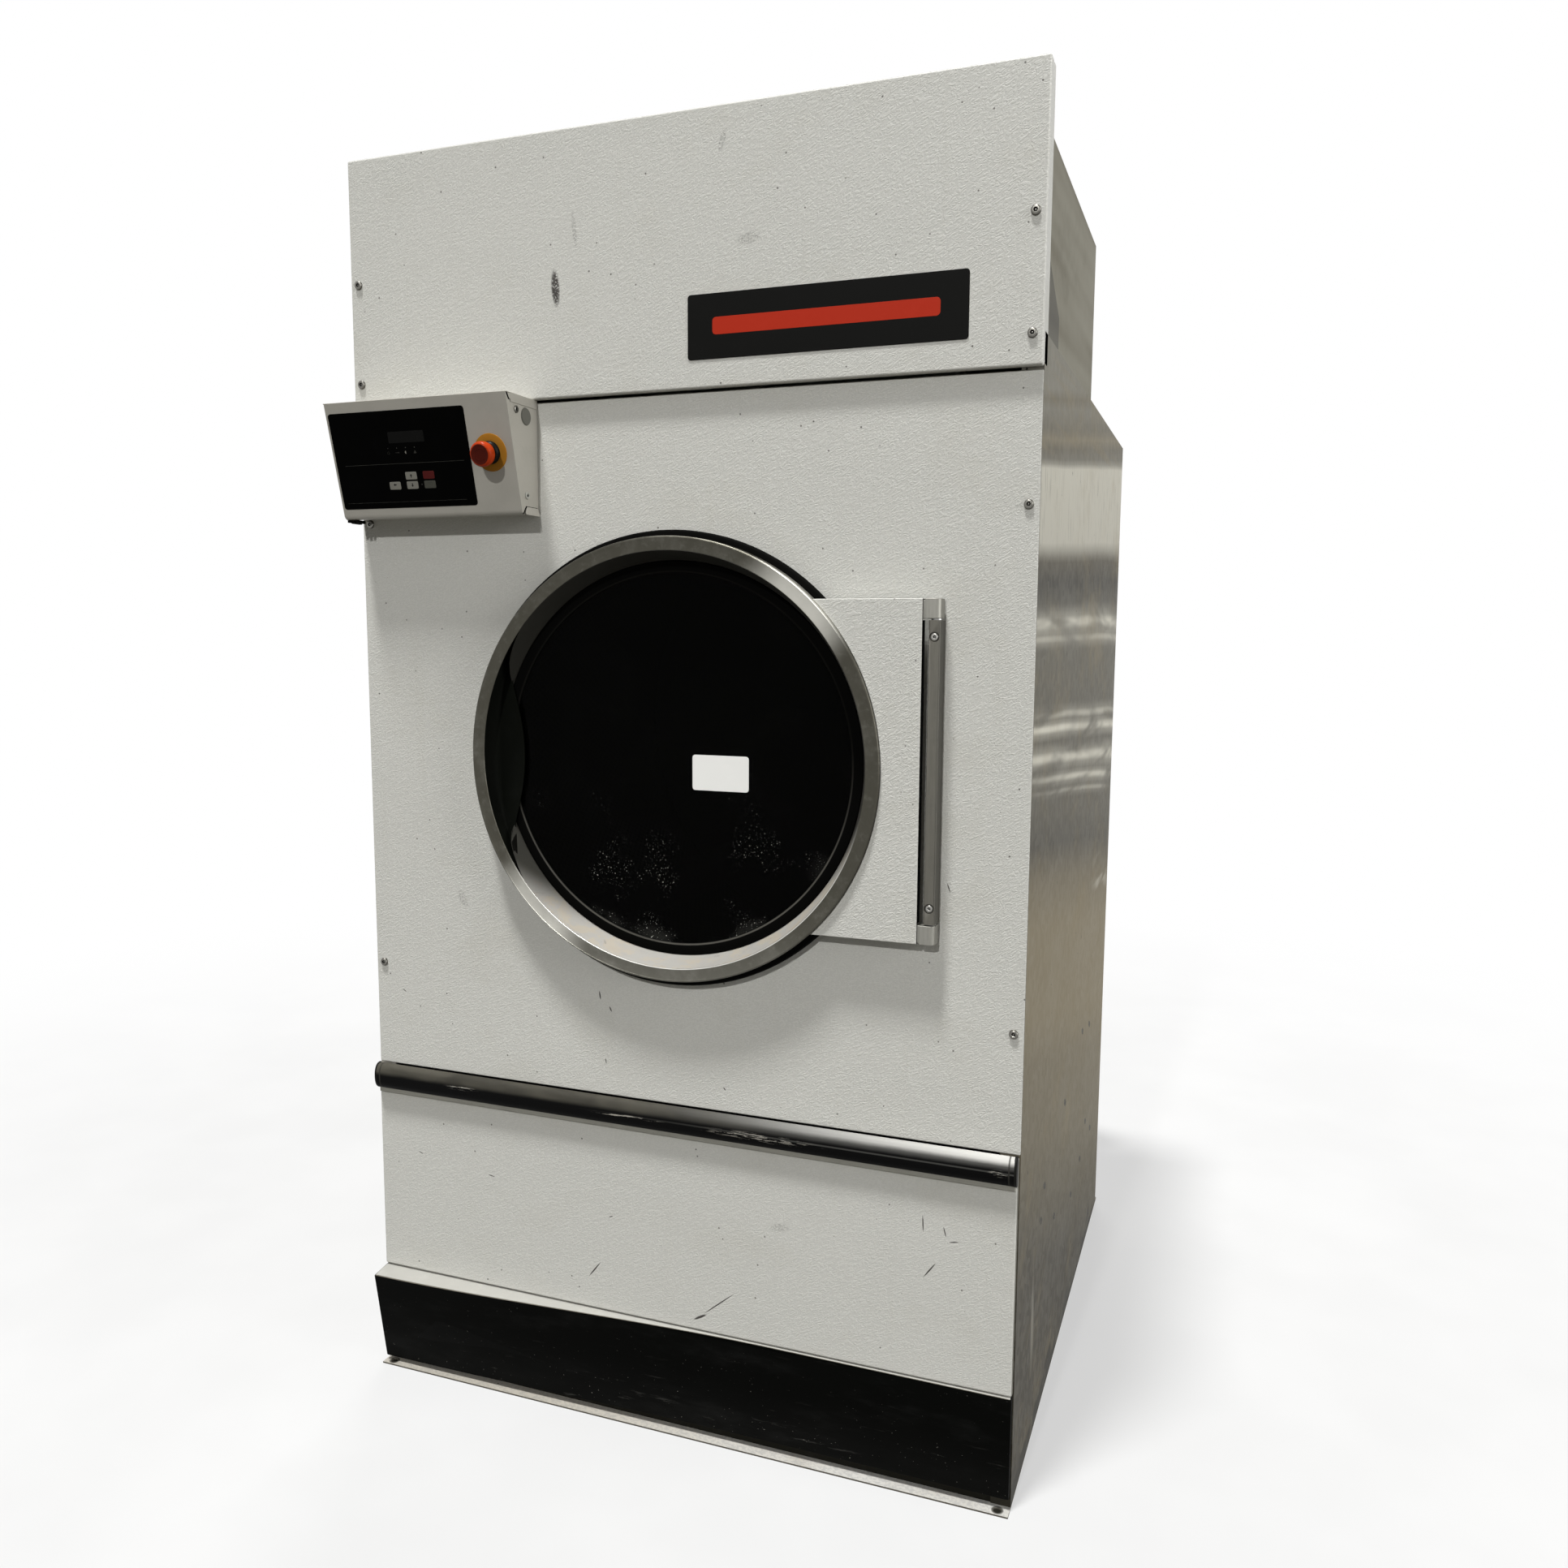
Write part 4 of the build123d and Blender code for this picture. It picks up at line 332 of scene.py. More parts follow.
class Form:
    """Patches of surface that are welded into one mesh, each face with the number of its finish."""

    def __init__(self):
        self.points, self.faces, self.finish, self.count = [], [], [], 0

    def grid(self, points, close_rows=False, close_columns=False, finish=0):
        """Quads between neighbours on a grid of points, closed over its first row or column if asked."""
        rows, columns = points.shape[:2]
        index = self.count + np.arange(rows * columns).reshape(rows, columns)
        if close_rows:
            index = np.vstack((index, index[:1]))
        if close_columns:
            index = np.hstack((index, index[:, :1]))
        quads = np.stack((index[:-1, :-1], index[1:, :-1], index[1:, 1:], index[:-1, 1:]), -1)
        self.points.append(points.reshape(-1, 3))
        self.faces += quads.reshape(-1, 4).tolist()
        self.finish += [finish] * (quads.size // 4)
        self.count += rows * columns
        return self

    def face(self, loop, finish=0):
        """One flat face inside a loop of points."""
        self.points.append(np.array(loop))
        self.faces.append(list(range(self.count, self.count + len(loop))))
        self.finish.append(finish)
        self.count += len(loop)
        return self

    def carried(self, outline, bench, rows, finish=0):
        """A solid whose skin is an outline drawn in and raised as the rows say, closed at both ends."""
        points = np.stack([bench.at(outline.inside(inward), height) for inward, height in rows])
        self.grid(points, close_columns=True, finish=finish)
        self.face(points[0], finish)
        self.face(points[-1], finish)
        return self

    def turned(self, profile, bench, steps=64, finish=0, closed=True):
        """A profile of (radius, height) turned round the bench's out direction.

        A radius may be an array with one value for each step, as for a hexagon or a fluted grip.
        """
        angle = np.linspace(0, TURN, steps, endpoint=False)
        round_ = np.stack((np.cos(angle), np.sin(angle)), 1)
        rows = [bench.at(np.asarray(radius).reshape(-1, 1) * round_, height) for radius, height in profile]
        return self.grid(np.stack(rows), close_rows=closed, close_columns=True, finish=finish)

    def topped(self, outline, rows, finish):
        """Another finish for the first patch's faces in those rows that lie along the outline's top side."""
        z = outline.inside(0)[:, 1]
        high = z > z.max() - WELD
        for column in np.flatnonzero(high & np.roll(high, -1)).tolist():
            for row in rows:
                self.finish[row * len(z) + column] = finish
        return self

    def drawn(self, section, stations, finish=0):
        """A closed section of (y, z) points drawn along X through the stations, its ends closed."""
        section = np.asarray(section, float)
        loops = [np.column_stack((np.full(len(section), x), section)) for x in stations]
        self.grid(np.stack(loops), close_columns=True, finish=finish)
        self.face(loops[0], finish)
        self.face(loops[-1], finish)
        return self

    def piece(self, name, finishes, body, slot, *nodes, sharp=SHARP):
        """The welded mesh as an object that rides on a body and stands for those CAD nodes."""
        mesh = bpy.data.meshes.new(name)
        mesh.from_pydata(np.concatenate(self.points).tolist(), [], self.faces)
        mesh.polygons.foreach_set("material_index", self.finish)
        for material in finishes:
            mesh.materials.append(material)
        work = bmesh.new()
        work.from_mesh(mesh)
        bmesh.ops.remove_doubles(work, verts=work.verts, dist=WELD)
        bmesh.ops.dissolve_degenerate(work, edges=work.edges, dist=WELD)
        bmesh.ops.recalc_face_normals(work, faces=work.faces)
        work.to_mesh(mesh)
        work.free()
        return settled(bpy.data.objects.new(name, mesh), body, nodes, sharp)


def settled(thing, body, nodes, sharp=SHARP):
    """Links a piece to the scene, shades it smooth up to the sharp angle, parents it to its body and hides its
    CAD nodes.
    """
    bpy.context.scene.collection.objects.link(thing)
    thing.data.shade_smooth()
    thing.data.set_sharp_from_angle(angle=math.radians(sharp))
    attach(thing, body)
    if nodes:
        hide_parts(*nodes)
    return thing


body_of = {node: body for body, members in frame["record"]["behaviour"]["bodies"].items() for node in members}
slot_of = {row["node"]: row["material_slot"] for row in frame["record"]["subparts"]}


def dressed(node, material, bevel, segments=2):
    """A merged copy of a CAD node with its edges broken, in place of the node."""
    mesh = frame["nodes"][node].data.copy()
    mesh.materials.clear()
    mesh.materials.append(material)
    work = bmesh.new()
    work.from_mesh(mesh)
    bmesh.ops.remove_doubles(work, verts=work.verts, dist=WELD)
    flat = math.radians(0.3)
    bmesh.ops.dissolve_limit(work, angle_limit=flat, verts=work.verts, edges=work.edges)
    for face in work.faces:
        face.material_index = 0
    work.to_mesh(mesh)
    work.free()
    thing = bpy.data.objects.new(node + "_dressed", mesh)
    settled(thing, body_of[node], (node,))
    edge = thing.modifiers.new("broken edges", "BEVEL")
    edge.width = bevel
    edge.segments = segments
    edge.limit_method = "ANGLE"
    edge.angle_limit = math.radians(40)
    edge.harden_normals = True
    return thing


def repainted(thing, material, chosen):
    """Another finish for the faces that chosen(middles, normals) picks from arrays of both."""
    faces = thing.data.polygons
    middles = np.empty(len(faces) * 3, np.float32)
    normals = np.empty(len(faces) * 3, np.float32)
    faces.foreach_get("center", middles)
    faces.foreach_get("normal", normals)
    thing.data.materials.append(material)
    mask = chosen(middles.reshape(-1, 3), normals.reshape(-1, 3))
    number = np.zeros(len(faces), np.int32)
    faces.foreach_get("material_index", number)
    number[mask] = len(thing.data.materials) - 1
    faces.foreach_set("material_index", number)
    return thing


def kept(material, *nodes):
    """CAD nodes that are shown as they are, with that finish."""
    for node in nodes:
        thing = frame["nodes"][node]
        thing.data.materials.clear()
        thing.data.materials.append(material)


def pan_rows(sheet, fold, depth, steps=5):
    """Rows of a folded sheet: round the fold, down the return, over its edge and back inside."""
    angle = np.linspace(0, math.pi / 2, steps)
    rows = [(fold + CALM, 0.0)] + [(fold * (1 - math.sin(a)), fold * (1 - math.cos(a))) for a in angle]
    rows += [(0.0, depth), (sheet, depth)]
    inner = max(fold - sheet, 0.1 * MM)
    rows += [(sheet + inner * (1 - math.sin(a)), sheet + inner * (1 - math.cos(a))) for a in angle[::-1]]
    return rows


def slab_rows(depth, front):
    """Rows of a thick plate with a rounded front edge."""
    angle = np.linspace(0, math.pi / 2, 4)
    rows = [(front + CALM, 0.0)] + [(front * (1 - math.sin(a)), front * (1 - math.cos(a))) for a in angle]
    return rows + [(0.0, depth), (CALM, depth)]


def in_mm(*pairs):
    """Points given in millimetres, in metres."""
    return [(across * MM, along * MM) for across, along in pairs]


def on_return(middle, normal):
    """Which faces are the side returns of a front sheet."""
    return (abs(middle[:, 0]) > PANEL_EDGE) & (abs(normal[:, 0]) > 0.8)


# Finishes

NICK_BLACK = (0.03, 0.028, 0.022)
MARK_BLACK = (0.05, 0.045, 0.04)
FAR = 1000.0  # half axis, in metres, of a mark that runs right through the part along that axis


def shade(tone, factor, plus=0.0):
    """A colour made darker or paler by a factor, with the same amount added to its three parts."""
    return tuple(part * factor + plus for part in tone)


def largest(signals):
    """The largest of several signals."""
    return reduce(Signal.larger, signals)


def grained_paint(name, tone, dark_top, dark_bottom, marks=(), grain=0.34):
    """White paint over sheet embossed like leather, with stains, scuffs and scratches, and painted shade in the
    grain's creases.

    The grain is noise stretched along a rising diagonal and folded at its middle into thin creases,
    which are darkened as painted shade. The paint is darker below dark_bottom and above dark_top.
    Marks are (kind, x, z, half width, half height, angle): a scuff is broken by noise, a faint one is
    dim as well, and a scratch is whole.
    grain is the depth of the embossing in millimetres.
    """
    f = Finish(name)
    crease = abs(f.noise((9 * MM, 9 * MM, 3.6 * MM), 2.0, 0.5, 0.7, (0, -38, 0)) * 2 - 1)
    pebble = f.noise((4.4 * MM, 4.4 * MM, 2.6 * MM), 1.0, 0.5, 0.4, (0, 25, 0))
    relief = crease.rise(0.0, 0.34) * 0.75 + pebble * 0.35
    wave = f.noise((0.42, 0.42, 0.3), 1.0)
    stain = f.noise((0.16, 0.16, 0.11), 4.0, 0.6)
    streak = f.noise((0.03, 0.03, 0.5), 3.0, 0.6)
    height = f.along("Z")
    # darker towards the bottom below dark_bottom and towards the top above dark_top, with stains and streaks
    darkening = (height.rise(dark_bottom, dark_bottom + 0.07, 1.0, 0.0) * 0.5 + stain.rise(0.52, 0.72) * 0.22
             + streak.rise(0.58, 0.75) * 0.12 + height.rise(dark_top - 0.05, dark_top) * 0.25)
    darkened = tuple(part * left for part, left in zip(tone, (0.84, 0.82, 0.77)))
    color = f.mix(darkening.smaller(1.0), tone, darkened)
    # painted shade: the grain's creases are darker
    color = f.mix((1 - crease.rise(0.0, 0.22)) * 0.22, color, shade(tone, 0.72))
    if marks:
        speck = f.noise(3 * MM, 3.0, 0.7)
        left = {"scratch": 1.0, "scuff": speck.rise(0.37, 0.47), "faint": speck.rise(0.40, 0.62) * 0.4}
        worn = [(1 - f.distance((wide, FAR, high), (x, 0, z), (0, -angle, 0)).rise(0.55, 1.0)) * left[kind]
                for kind, x, z, wide, high, angle in marks]
        color = f.mix(largest(worn), color, MARK_BLACK)
    fleck = 1 - f.cells(34 * MM).rise(0.035, 0.055)
    color = f.mix(fleck * 0.8, color, (0.06, 0.055, 0.045))
    normal = f.bump(relief, grain * MM, f.bump(wave, 2.2 * MM))
    return f.surface(Base_Color=color, Roughness=stain * 0.16 + 0.36, Normal=normal, Specular_IOR_Level=0.25)


def smooth_paint(name, tone):
    """Smooth light grey enamel with a faint orange peel, finger grime and a few dark specks."""
    f = Finish(name)
    stain = f.noise((0.05, 0.05, 0.04), 4.0, 0.6)
    speck = f.noise(1.6 * MM, 2.0, 0.6)
    color = f.mix(stain.rise(0.45, 0.75) * 0.35, tone, shade(tone, 0.82))
    color = f.mix(speck.rise(0.76, 0.8) * 0.5, color, (0.12, 0.11, 0.10))
    peel = f.bump(f.noise(4 * MM, 1.0), 0.10 * MM)
    return f.surface(Base_Color=color, Roughness=stain * 0.2 + 0.3, Normal=peel)


def fan_of_bands(f, tone, warm, steps):
    """The painted reflections on the right side panel: their colour, and the height on the front edge of each
    point's band.

    A band at height h on the front edge lies further back at z = m + (h - m)(1 + spread * depth), with m
    the height of the level band. Each step is (h, strength of tone, share of the warm colour). Each
    glint is (h, half width, strength): a painted highlight, a thin bright line in a wider painted glow.
    """
    depth = f.along("Y") - FRONT
    fan = (f.along("Z") - LEVEL_BAND) / (depth * BAND_SPREAD + 1) + LEVEL_BAND
    fan = fan + (f.noise((0.8, 0.8, 0.3), 2.0) - 0.5) * 0.014
    stops = [(z / LEVEL_TOP, tuple(light * (near + (far - near) * share) for near, far in zip(tone, warm)))
             for z, light, share in steps]
    tint = f.ramp(fan / LEVEL_TOP, *stops)
    # painted highlights: thin bright glints along the bands
    painted_glints = ((1.380, 0.010, 0.9), (1.357, 0.006, 0.5), (1.246, 0.006, 0.6), (1.226, 0.007, 1.0),
              (1.183, 0.009, 0.9), (1.152, 0.006, 0.8), (1.132, 0.004, 0.4))
    lines = []
    for height, half, strength in painted_glints:
        away = abs(fan - height)
        line = away.rise(half * 0.1, half * 1.2, 0.55, 0.0)
        glow = away.rise(0, half * 3.2, 0.45, 0.0)
        lines.append((line + glow) * strength)
    broken = f.noise((0.5, 0.35, 0.05), 2.0, 0.55, 0.3)
    painted_glint = largest(lines) * broken.rise(0.30, 0.60, 0.15, 1.0)
    # painted highlight: a broad pale patch on the side panel
    patch = 1 - f.distance((FAR, 0.24, 0.055), (0, FRONT + 1.0, 0.84), (-10, 0, 0)).rise(0.2, 1.0)
    painted_glint = (painted_glint * 0.8).larger(patch * 0.35 * broken.rise(0.4, 0.6))
    tint = f.mix(painted_glint, tint, shade(tone, 1.35))
    streak = f.noise((0.06, 9 * MM, 0.07), 3.0, 0.6).rise(0.56, 0.68)
    tint = f.mix(streak * fan.rise(1.48, 1.50) * fan.rise(1.62, 1.59) * 0.45, tint, shade(tone, 0.3))
    brown = f.noise((0.5, 0.5, 0.02), 3.0, 0.6).rise(0.5, 0.7)
    tint = f.mix(brown * fan.rise(1.60, 1.62) * 0.4, tint, shade(warm, 0.34))
    pale = 1 - f.distance((FAR, 0.020, 0.11), (0, FRONT + 0.172, 0.22), (4, 0, 0)).rise(0.2, 1.0)
    return f.mix(pale * 0.22, tint, tone), fan


def side_dark_marks(f):
    """Dark marks on the right side panel: a ragged dark band along its foot, and chips (depth, height) in its
    zinc.
    """
    foot = f.along("Z") - f.noise((0.12, 0.12, 0.05), 3.0, 0.6) * (170 * MM)
    foot = foot.rise(-64 * MM, -48 * MM, 0.92, 0.0)
    places = ((0.760, 0.547), (0.884, 0.526), (0.510, 0.482), (0.269, 0.419), (0.237, 0.370), (0.405, 0.302),
              (0.871, 0.310), (0.652, 0.237), (0.791, 0.256), (0.971, 0.257))
    chips = [1 - f.distance((FAR, 21 * MM, 8 * MM), (0, FRONT + back, height), (-25, 0, 0)).rise(0.6, 1.0)
             for back, height in places]
    return foot.larger(largest(chips) * f.noise(6 * MM, 2.0, 0.6).rise(0.34, 0.46))


def flange_dirt(f, tint, flakes):
    """Dirt on the base: grey flakes, a darker left end and dark rings round the front anchor holes."""
    patch = f.noise((5 * MM, 4 * MM, 5 * MM), 3.0, 0.65).rise(0.46, 0.56)
    tint = f.mix(patch * flakes, tint, (0.20, 0.205, 0.21))
    tint = f.mix(f.along("X").rise(0.35, -0.45) * 0.35, tint, (0.13, 0.125, 0.105))
    for side in (-1, 1):
        hole = (side * ANCHOR_X, -ANCHOR_Y, 0)
        ring = 1 - f.distance((11 * MM, 11 * MM, FAR), hole).rise(0.7, 1.0)
        tint = f.mix(ring * 0.9, tint, NICK_BLACK)
    return tint


def rolled_zinc(name, tone, warm, band=0.16, nicks=1.0, shine=0.36, metal=0.6, steps=(), flakes=0.0):
    """Galvanised sheet: level bands, fine rolling lines, stains and dark nicks.

    With steps the bands are a fan of painted reflections, as in fan_of_bands; flakes is the strength of the
    base's dirt.
    """
    f = Finish(name)
    cloud = f.noise((0.22, 0.22, 0.16), 4.0, 0.65)
    lines = f.noise((0.6, 0.6, 1.2 * MM), 2.0, 0.6)
    spangle = f.node("ShaderNodeSeparateXYZ", None, {"Vector": f.cells(14 * MM, output=1).socket})
    if steps:
        tint, fan = fan_of_bands(f, tone, warm, steps)
    else:
        bands = f.noise((3.0, 1.4, band), 2.0, 0.55, 0.25)
        tint = f.mix(bands.rise(0.34, 0.66), warm, tone)
    tint = f.mix(cloud.rise(0.5, 0.8) * 0.4, tint, shade(warm, 0.5))
    tint = f.mix(Signal(f, spangle.outputs[0]) * 0.07, tint, tone)
    if flakes:
        tint = flange_dirt(f, tint, flakes)
    nick = f.noise((9 * MM, 9 * MM, 14 * MM), 1.0, 0.5, 0.3)
    dark = (nick.rise(0.79, 0.815) * nicks).smaller(1.0)
    if steps:
        dark = dark.larger(side_dark_marks(f))
    metallic = (1 - dark) * metal
    if steps:
        metallic = metallic * fan.rise(0.38, 0.52, 0.45, 1.0)
    dent = f.bump(f.noise((0.35, 0.35, 0.12), 1.0), 2.0 * MM)
    normal = f.bump(lines * 0.5 + nick.rise(0.6, 0.85) * 0.6, 0.05 * MM, dent)
    return f.surface(Base_Color=f.mix(dark, tint, NICK_BLACK), Metallic=metallic, Roughness=cloud * 0.2 + shine,
                     Normal=normal, Specular_IOR_Level=0.05, Specular_Tint=(0.34, 0.32, 0.24))


def brushed(name, tone, direction, rough=0.28, stains=0.4, metal=1.0):
    """Brushed metal: scratches drawn out along one direction, handling marks and dull patches."""
    f = Finish(name)
    fine = f.noise(direction, 3.0, 0.65)
    cloud = f.noise(0.05, 4.0, 0.65)
    blotch = f.noise(9 * MM, 3.0, 0.6, 0.4)
    color = f.mix(cloud.rise(0.45, 0.75) * stains, tone, shade(tone, 0.62))
    color = f.mix(blotch.rise(0.58, 0.75) * stains * 0.5, color, shade(tone, 0.5))
    color = f.mix(fine.rise(0.35, 0.7) * 0.25, color, shade(tone, 1.5))
    roughness = fine * 0.14 + cloud * 0.22 + (rough - 0.15)
    return f.surface(Base_Color=color, Metallic=metal, Roughness=roughness, Normal=f.bump(fine, 0.02 * MM))


def turned_steel(name, dark, glare_tone, metal):
    """The ring's steel, ground round and round: dull, with a painted glare across it at two opposite places,
    painted reflection paler towards its foot and a painted highlight along the band's inner edge.
    """
    f = Finish(name)
    x, z, radius = f.round_door()
    # painted reflection: a glare across the ring at two opposite places
    glare_turn = math.radians(48)
    across = abs(x * math.sin(glare_turn) - z * math.cos(glare_turn))
    glare = across.rise(0.03, 0.115, 1.0, 0.0) * z.rise(-0.1, 0.1, 0.8, 1.0)
    groove = f.node("ShaderNodeTexNoise", {"noise_dimensions": "1D"},
                    {"W": radius / (0.7 * MM), "Detail": 3.0, "Roughness": 0.6})
    groove = Signal(f, groove.outputs[0])
    cloud = f.noise(0.045, 4.0, 0.65)
    smear = f.noise(0.012, 3.0, 0.6, 0.3)
    # painted reflection: the ring is paler towards its foot
    low = z.rise(-0.20, -0.345)
    # painted highlight: a thin pale line along the band's inner edge, on its lower part
    inner_edge_highlight = 1 - abs(radius - BAND_INNER).rise(0.8 * MM, 2.4 * MM)
    inner_edge_highlight = inner_edge_highlight * (x * 0.17 - z * 0.98).rise(0.12, 0.24)
    light = (glare * 0.9 + cloud.rise(0.4, 0.8) * 0.08 + smear.rise(0.5, 0.8) * 0.06 + low * 0.1
             + (groove - 0.5) * 0.16)
    color = f.mix(light.larger(0.0).smaller(1.0), dark, glare_tone)
    color = f.mix(inner_edge_highlight * 0.85, color, (0.80, 0.79, 0.74))
    return f.surface(Base_Color=color, Metallic=metal, Roughness=cloud * 0.2 + 0.24,
                     Normal=f.bump(groove, 0.03 * MM))


def cone_metal(name):
    """The steel cone between band and glass: painted light at the foot, painted shade at the top, smeared with
    warm dust.

    How much painted light it shows follows the distance towards the foot plus a share of the distance from the
    glass.
    """
    f = Finish(name)
    cloud = f.noise(0.05, 4.0, 0.6)
    mark = f.noise(0.02, 3.0, 0.65, 0.4)
    dusty = f.noise(0.06, 4.0, 0.7, 0.4).rise(0.48, 0.60)
    tone = (0.33, 0.32, 0.295)
    color = f.mix(cloud.rise(0.42, 0.75) * 0.3, tone, shade(tone, 0.7))
    color = f.mix(dusty * 0.4, color, (0.40, 0.335, 0.235))
    color = f.mix(mark.rise(0.62, 0.76) * 0.4, color, (0.12, 0.11, 0.09))
    # painted light and shade: pale where the cone faces up to the lamps, near black where it faces down
    lit_turn = math.radians(280)
    x, z, radius = f.round_door()
    lit_facing = x * math.cos(lit_turn) + z * math.sin(lit_turn) + (radius - CONE_INNER) * 4 - 0.02
    color = f.mix(lit_facing.rise(0.14, 0.26), (0.034, 0.033, 0.028), color)
    return f.surface(Base_Color=color, Metallic=0.2, Roughness=cloud * 0.2 + 0.34, Specular_IOR_Level=0.1,
                     Normal=f.bump(mark, 0.05 * MM))


def scuffed_black(name, tone):
    """Black paint with pale specks, rubbed patches and dust that gathers low down."""
    f = Finish(name)
    cloud = f.noise((0.16, 0.16, 0.05), 4.0, 0.65)
    speck = f.noise(3.4 * MM, 2.0, 0.6).rise(0.735, 0.765)
    rub = f.noise((0.09, 0.09, 0.012), 4.0, 0.7).rise(0.62, 0.8)
    low = f.along("Z").rise(0.02, 0.13, 1.0, 0.0)
    color = f.mix((cloud.rise(0.5, 0.8) * 0.4 + low * cloud * 0.5).smaller(1.0), tone, shade(tone, 2.2, 0.010))
    color = f.mix(rub * (low * 0.5 + 0.08), color, (0.10, 0.098, 0.09))
    color = f.mix(speck * (low * 0.6 + 0.25), color, (0.34, 0.33, 0.29))
    return f.surface(Base_Color=color, Roughness=cloud * 0.24 + 0.32, Specular_IOR_Level=0.02,
                     Normal=f.bump(f.noise((0.3, 0.3, 0.1), 1.0), 1.2 * MM))


def bumper_skin(name):
    """The bumper's vinyl: a painted highlight along its upper shoulder and crest, stronger to the right,
    mottled at the left, scuffed below.

    A scuff is (x, half length, share of the bumper's height, half height).
    """
    f = Finish(name)
    x, z = f.along("X"), f.along("Z")
    low = BUMPER_FOOT
    tall = BUMPER_TOP - low
    cloud = f.noise((0.05, 0.05, 0.02), 4.0, 0.65)
    drawn = f.noise((0.5, 2 * MM, 1.5 * MM), 3.0, 0.6)
    wander = (cloud - 0.5) * (3 * MM)
    # painted highlight: pale bands on the shoulder and crest, growing towards the right end
    shoulder_highlight = (z + wander).rise(low + 0.54 * tall, low + 0.76 * tall)
    crest_highlight = (z + wander).rise(low + 0.71 * tall, low + 0.89 * tall)
    highlight_strength = x.rise(-0.20, 0.50, 0.01, 0.13)
    color = f.mix(shoulder_highlight * highlight_strength * (drawn * 0.5 + 0.7), (0.003, 0.003, 0.003), (0.62, 0.61, 0.57))
    color = f.mix(crest_highlight * x.rise(-0.08, 0.75, 0.0, 0.70) * (drawn * 0.4 + 0.75), color, (0.72, 0.71, 0.67))
    line = 1 - abs(z - (low + 0.49 * tall)).rise(0.6 * MM, 2.0 * MM)
    color = f.mix(line * x.rise(-0.2, 0.3) * 0.10, color, (0.5, 0.5, 0.46))
    mottle = f.noise((0.09, 0.03, 0.03), 2.0, 0.55, 0.3).rise(0.30, 0.70, 0.5, 1.0)
    color = f.mix(mottle * shoulder_highlight * x.rise(0.30, -0.1, 0.0, 0.9), color, (0.066, 0.062, 0.050))
    seam = 1 - abs(abs(x) - 0.5745).rise(0.6 * MM, 2.0 * MM)
    color = f.mix(seam * 0.85, color, (0.03, 0.029, 0.025))
    grit = f.noise((0.04, 0.01, 3 * MM), 4.0, 0.75).rise(0.53, 0.58)
    scuffs = ((0.17, 0.15, 0.42, 0.011), (-0.07, 0.10, 0.45, 0.004), (0.558, 0.022, 0.46, 0.009),
              (-0.40, 0.05, 0.55, 0.006))
    where = [1 - f.distance((half, 1.0, high), (middle, 0, low + rise * tall)).rise(0.4, 1.0)
             for middle, half, rise, high in scuffs]
    color = f.mix((grit * largest(where) * 1.5).smaller(1.0), color, (0.42, 0.40, 0.35))
    return f.surface(Base_Color=color, Roughness=cloud * 0.2 + 0.34, Specular_IOR_Level=0.03,
                     Normal=f.bump(drawn, 0.05 * MM))


def moulded(name, tone, rough=0.42, bloom=0.25, texture=0.06, gloss=0.12):
    """Moulded plastic or rubber with a fine texture and a pale bloom of dust and handling."""
    f = Finish(name)
    cloud = f.noise(0.03, 4.0, 0.65)
    grain = f.noise(0.9 * MM, 2.0, 0.5)
    color = f.mix(cloud.rise(0.48, 0.78) * bloom, tone, shade(tone, 1.3, 0.012))
    return f.surface(Base_Color=color, Roughness=cloud * 0.2 + (rough - 0.1),
                     Normal=f.bump(grain, texture * MM), Specular_IOR_Level=gloss)


def dusty_channel(name):
    """The rubber channel round the glass: black, with a thin line of dust along its inner edge."""
    f = Finish(name)
    x, z, radius = f.round_door()
    line = 1 - abs(radius - (GASKET_INNER + 2.2 * MM)).rise(0.6 * MM, 2.0 * MM)
    cloud = f.noise(0.08, 3.0, 0.6)
    dust = line * z.rise(0.05, -0.20, 0.05, 0.7) * (cloud + 0.3)
    color = f.mix(dust, (0.002, 0.002, 0.0018), (0.12, 0.115, 0.10))
    return f.surface(Base_Color=color, Roughness=cloud * 0.2 + 0.5, Specular_IOR_Level=0.01)


def dark_glass(name):
    """Tinted door glass with lint specks, most of them low down, and a haze of dust round its rim."""
    f = Finish(name)
    x, z, radius = f.round_door()
    dots = 1 - f.cells(7 * MM).rise(0.10, 0.16)
    fine = 1 - f.cells(3.2 * MM).rise(0.10, 0.17)
    cluster = f.noise(0.09, 3.0, 0.6).rise(0.48, 0.64)
    low = f.along("Z").rise(0.84, 1.12, 1.0, 0.06)
    speck = (dots * cluster + fine * cluster * 0.8).smaller(1.0) * low
    haze = radius.rise(0.27, 0.302) * cluster * low * 0.05
    color = f.mix(speck, f.mix(haze, (0.0006, 0.0006, 0.0005), (0.3, 0.3, 0.27)), (0.42, 0.42, 0.38))
    alpha = (speck + haze * 2 + 0.86).smaller(1.0)
    return f.surface(Base_Color=color, Roughness=speck * 0.4 + 0.05, Alpha=alpha, Specular_IOR_Level=0.02)


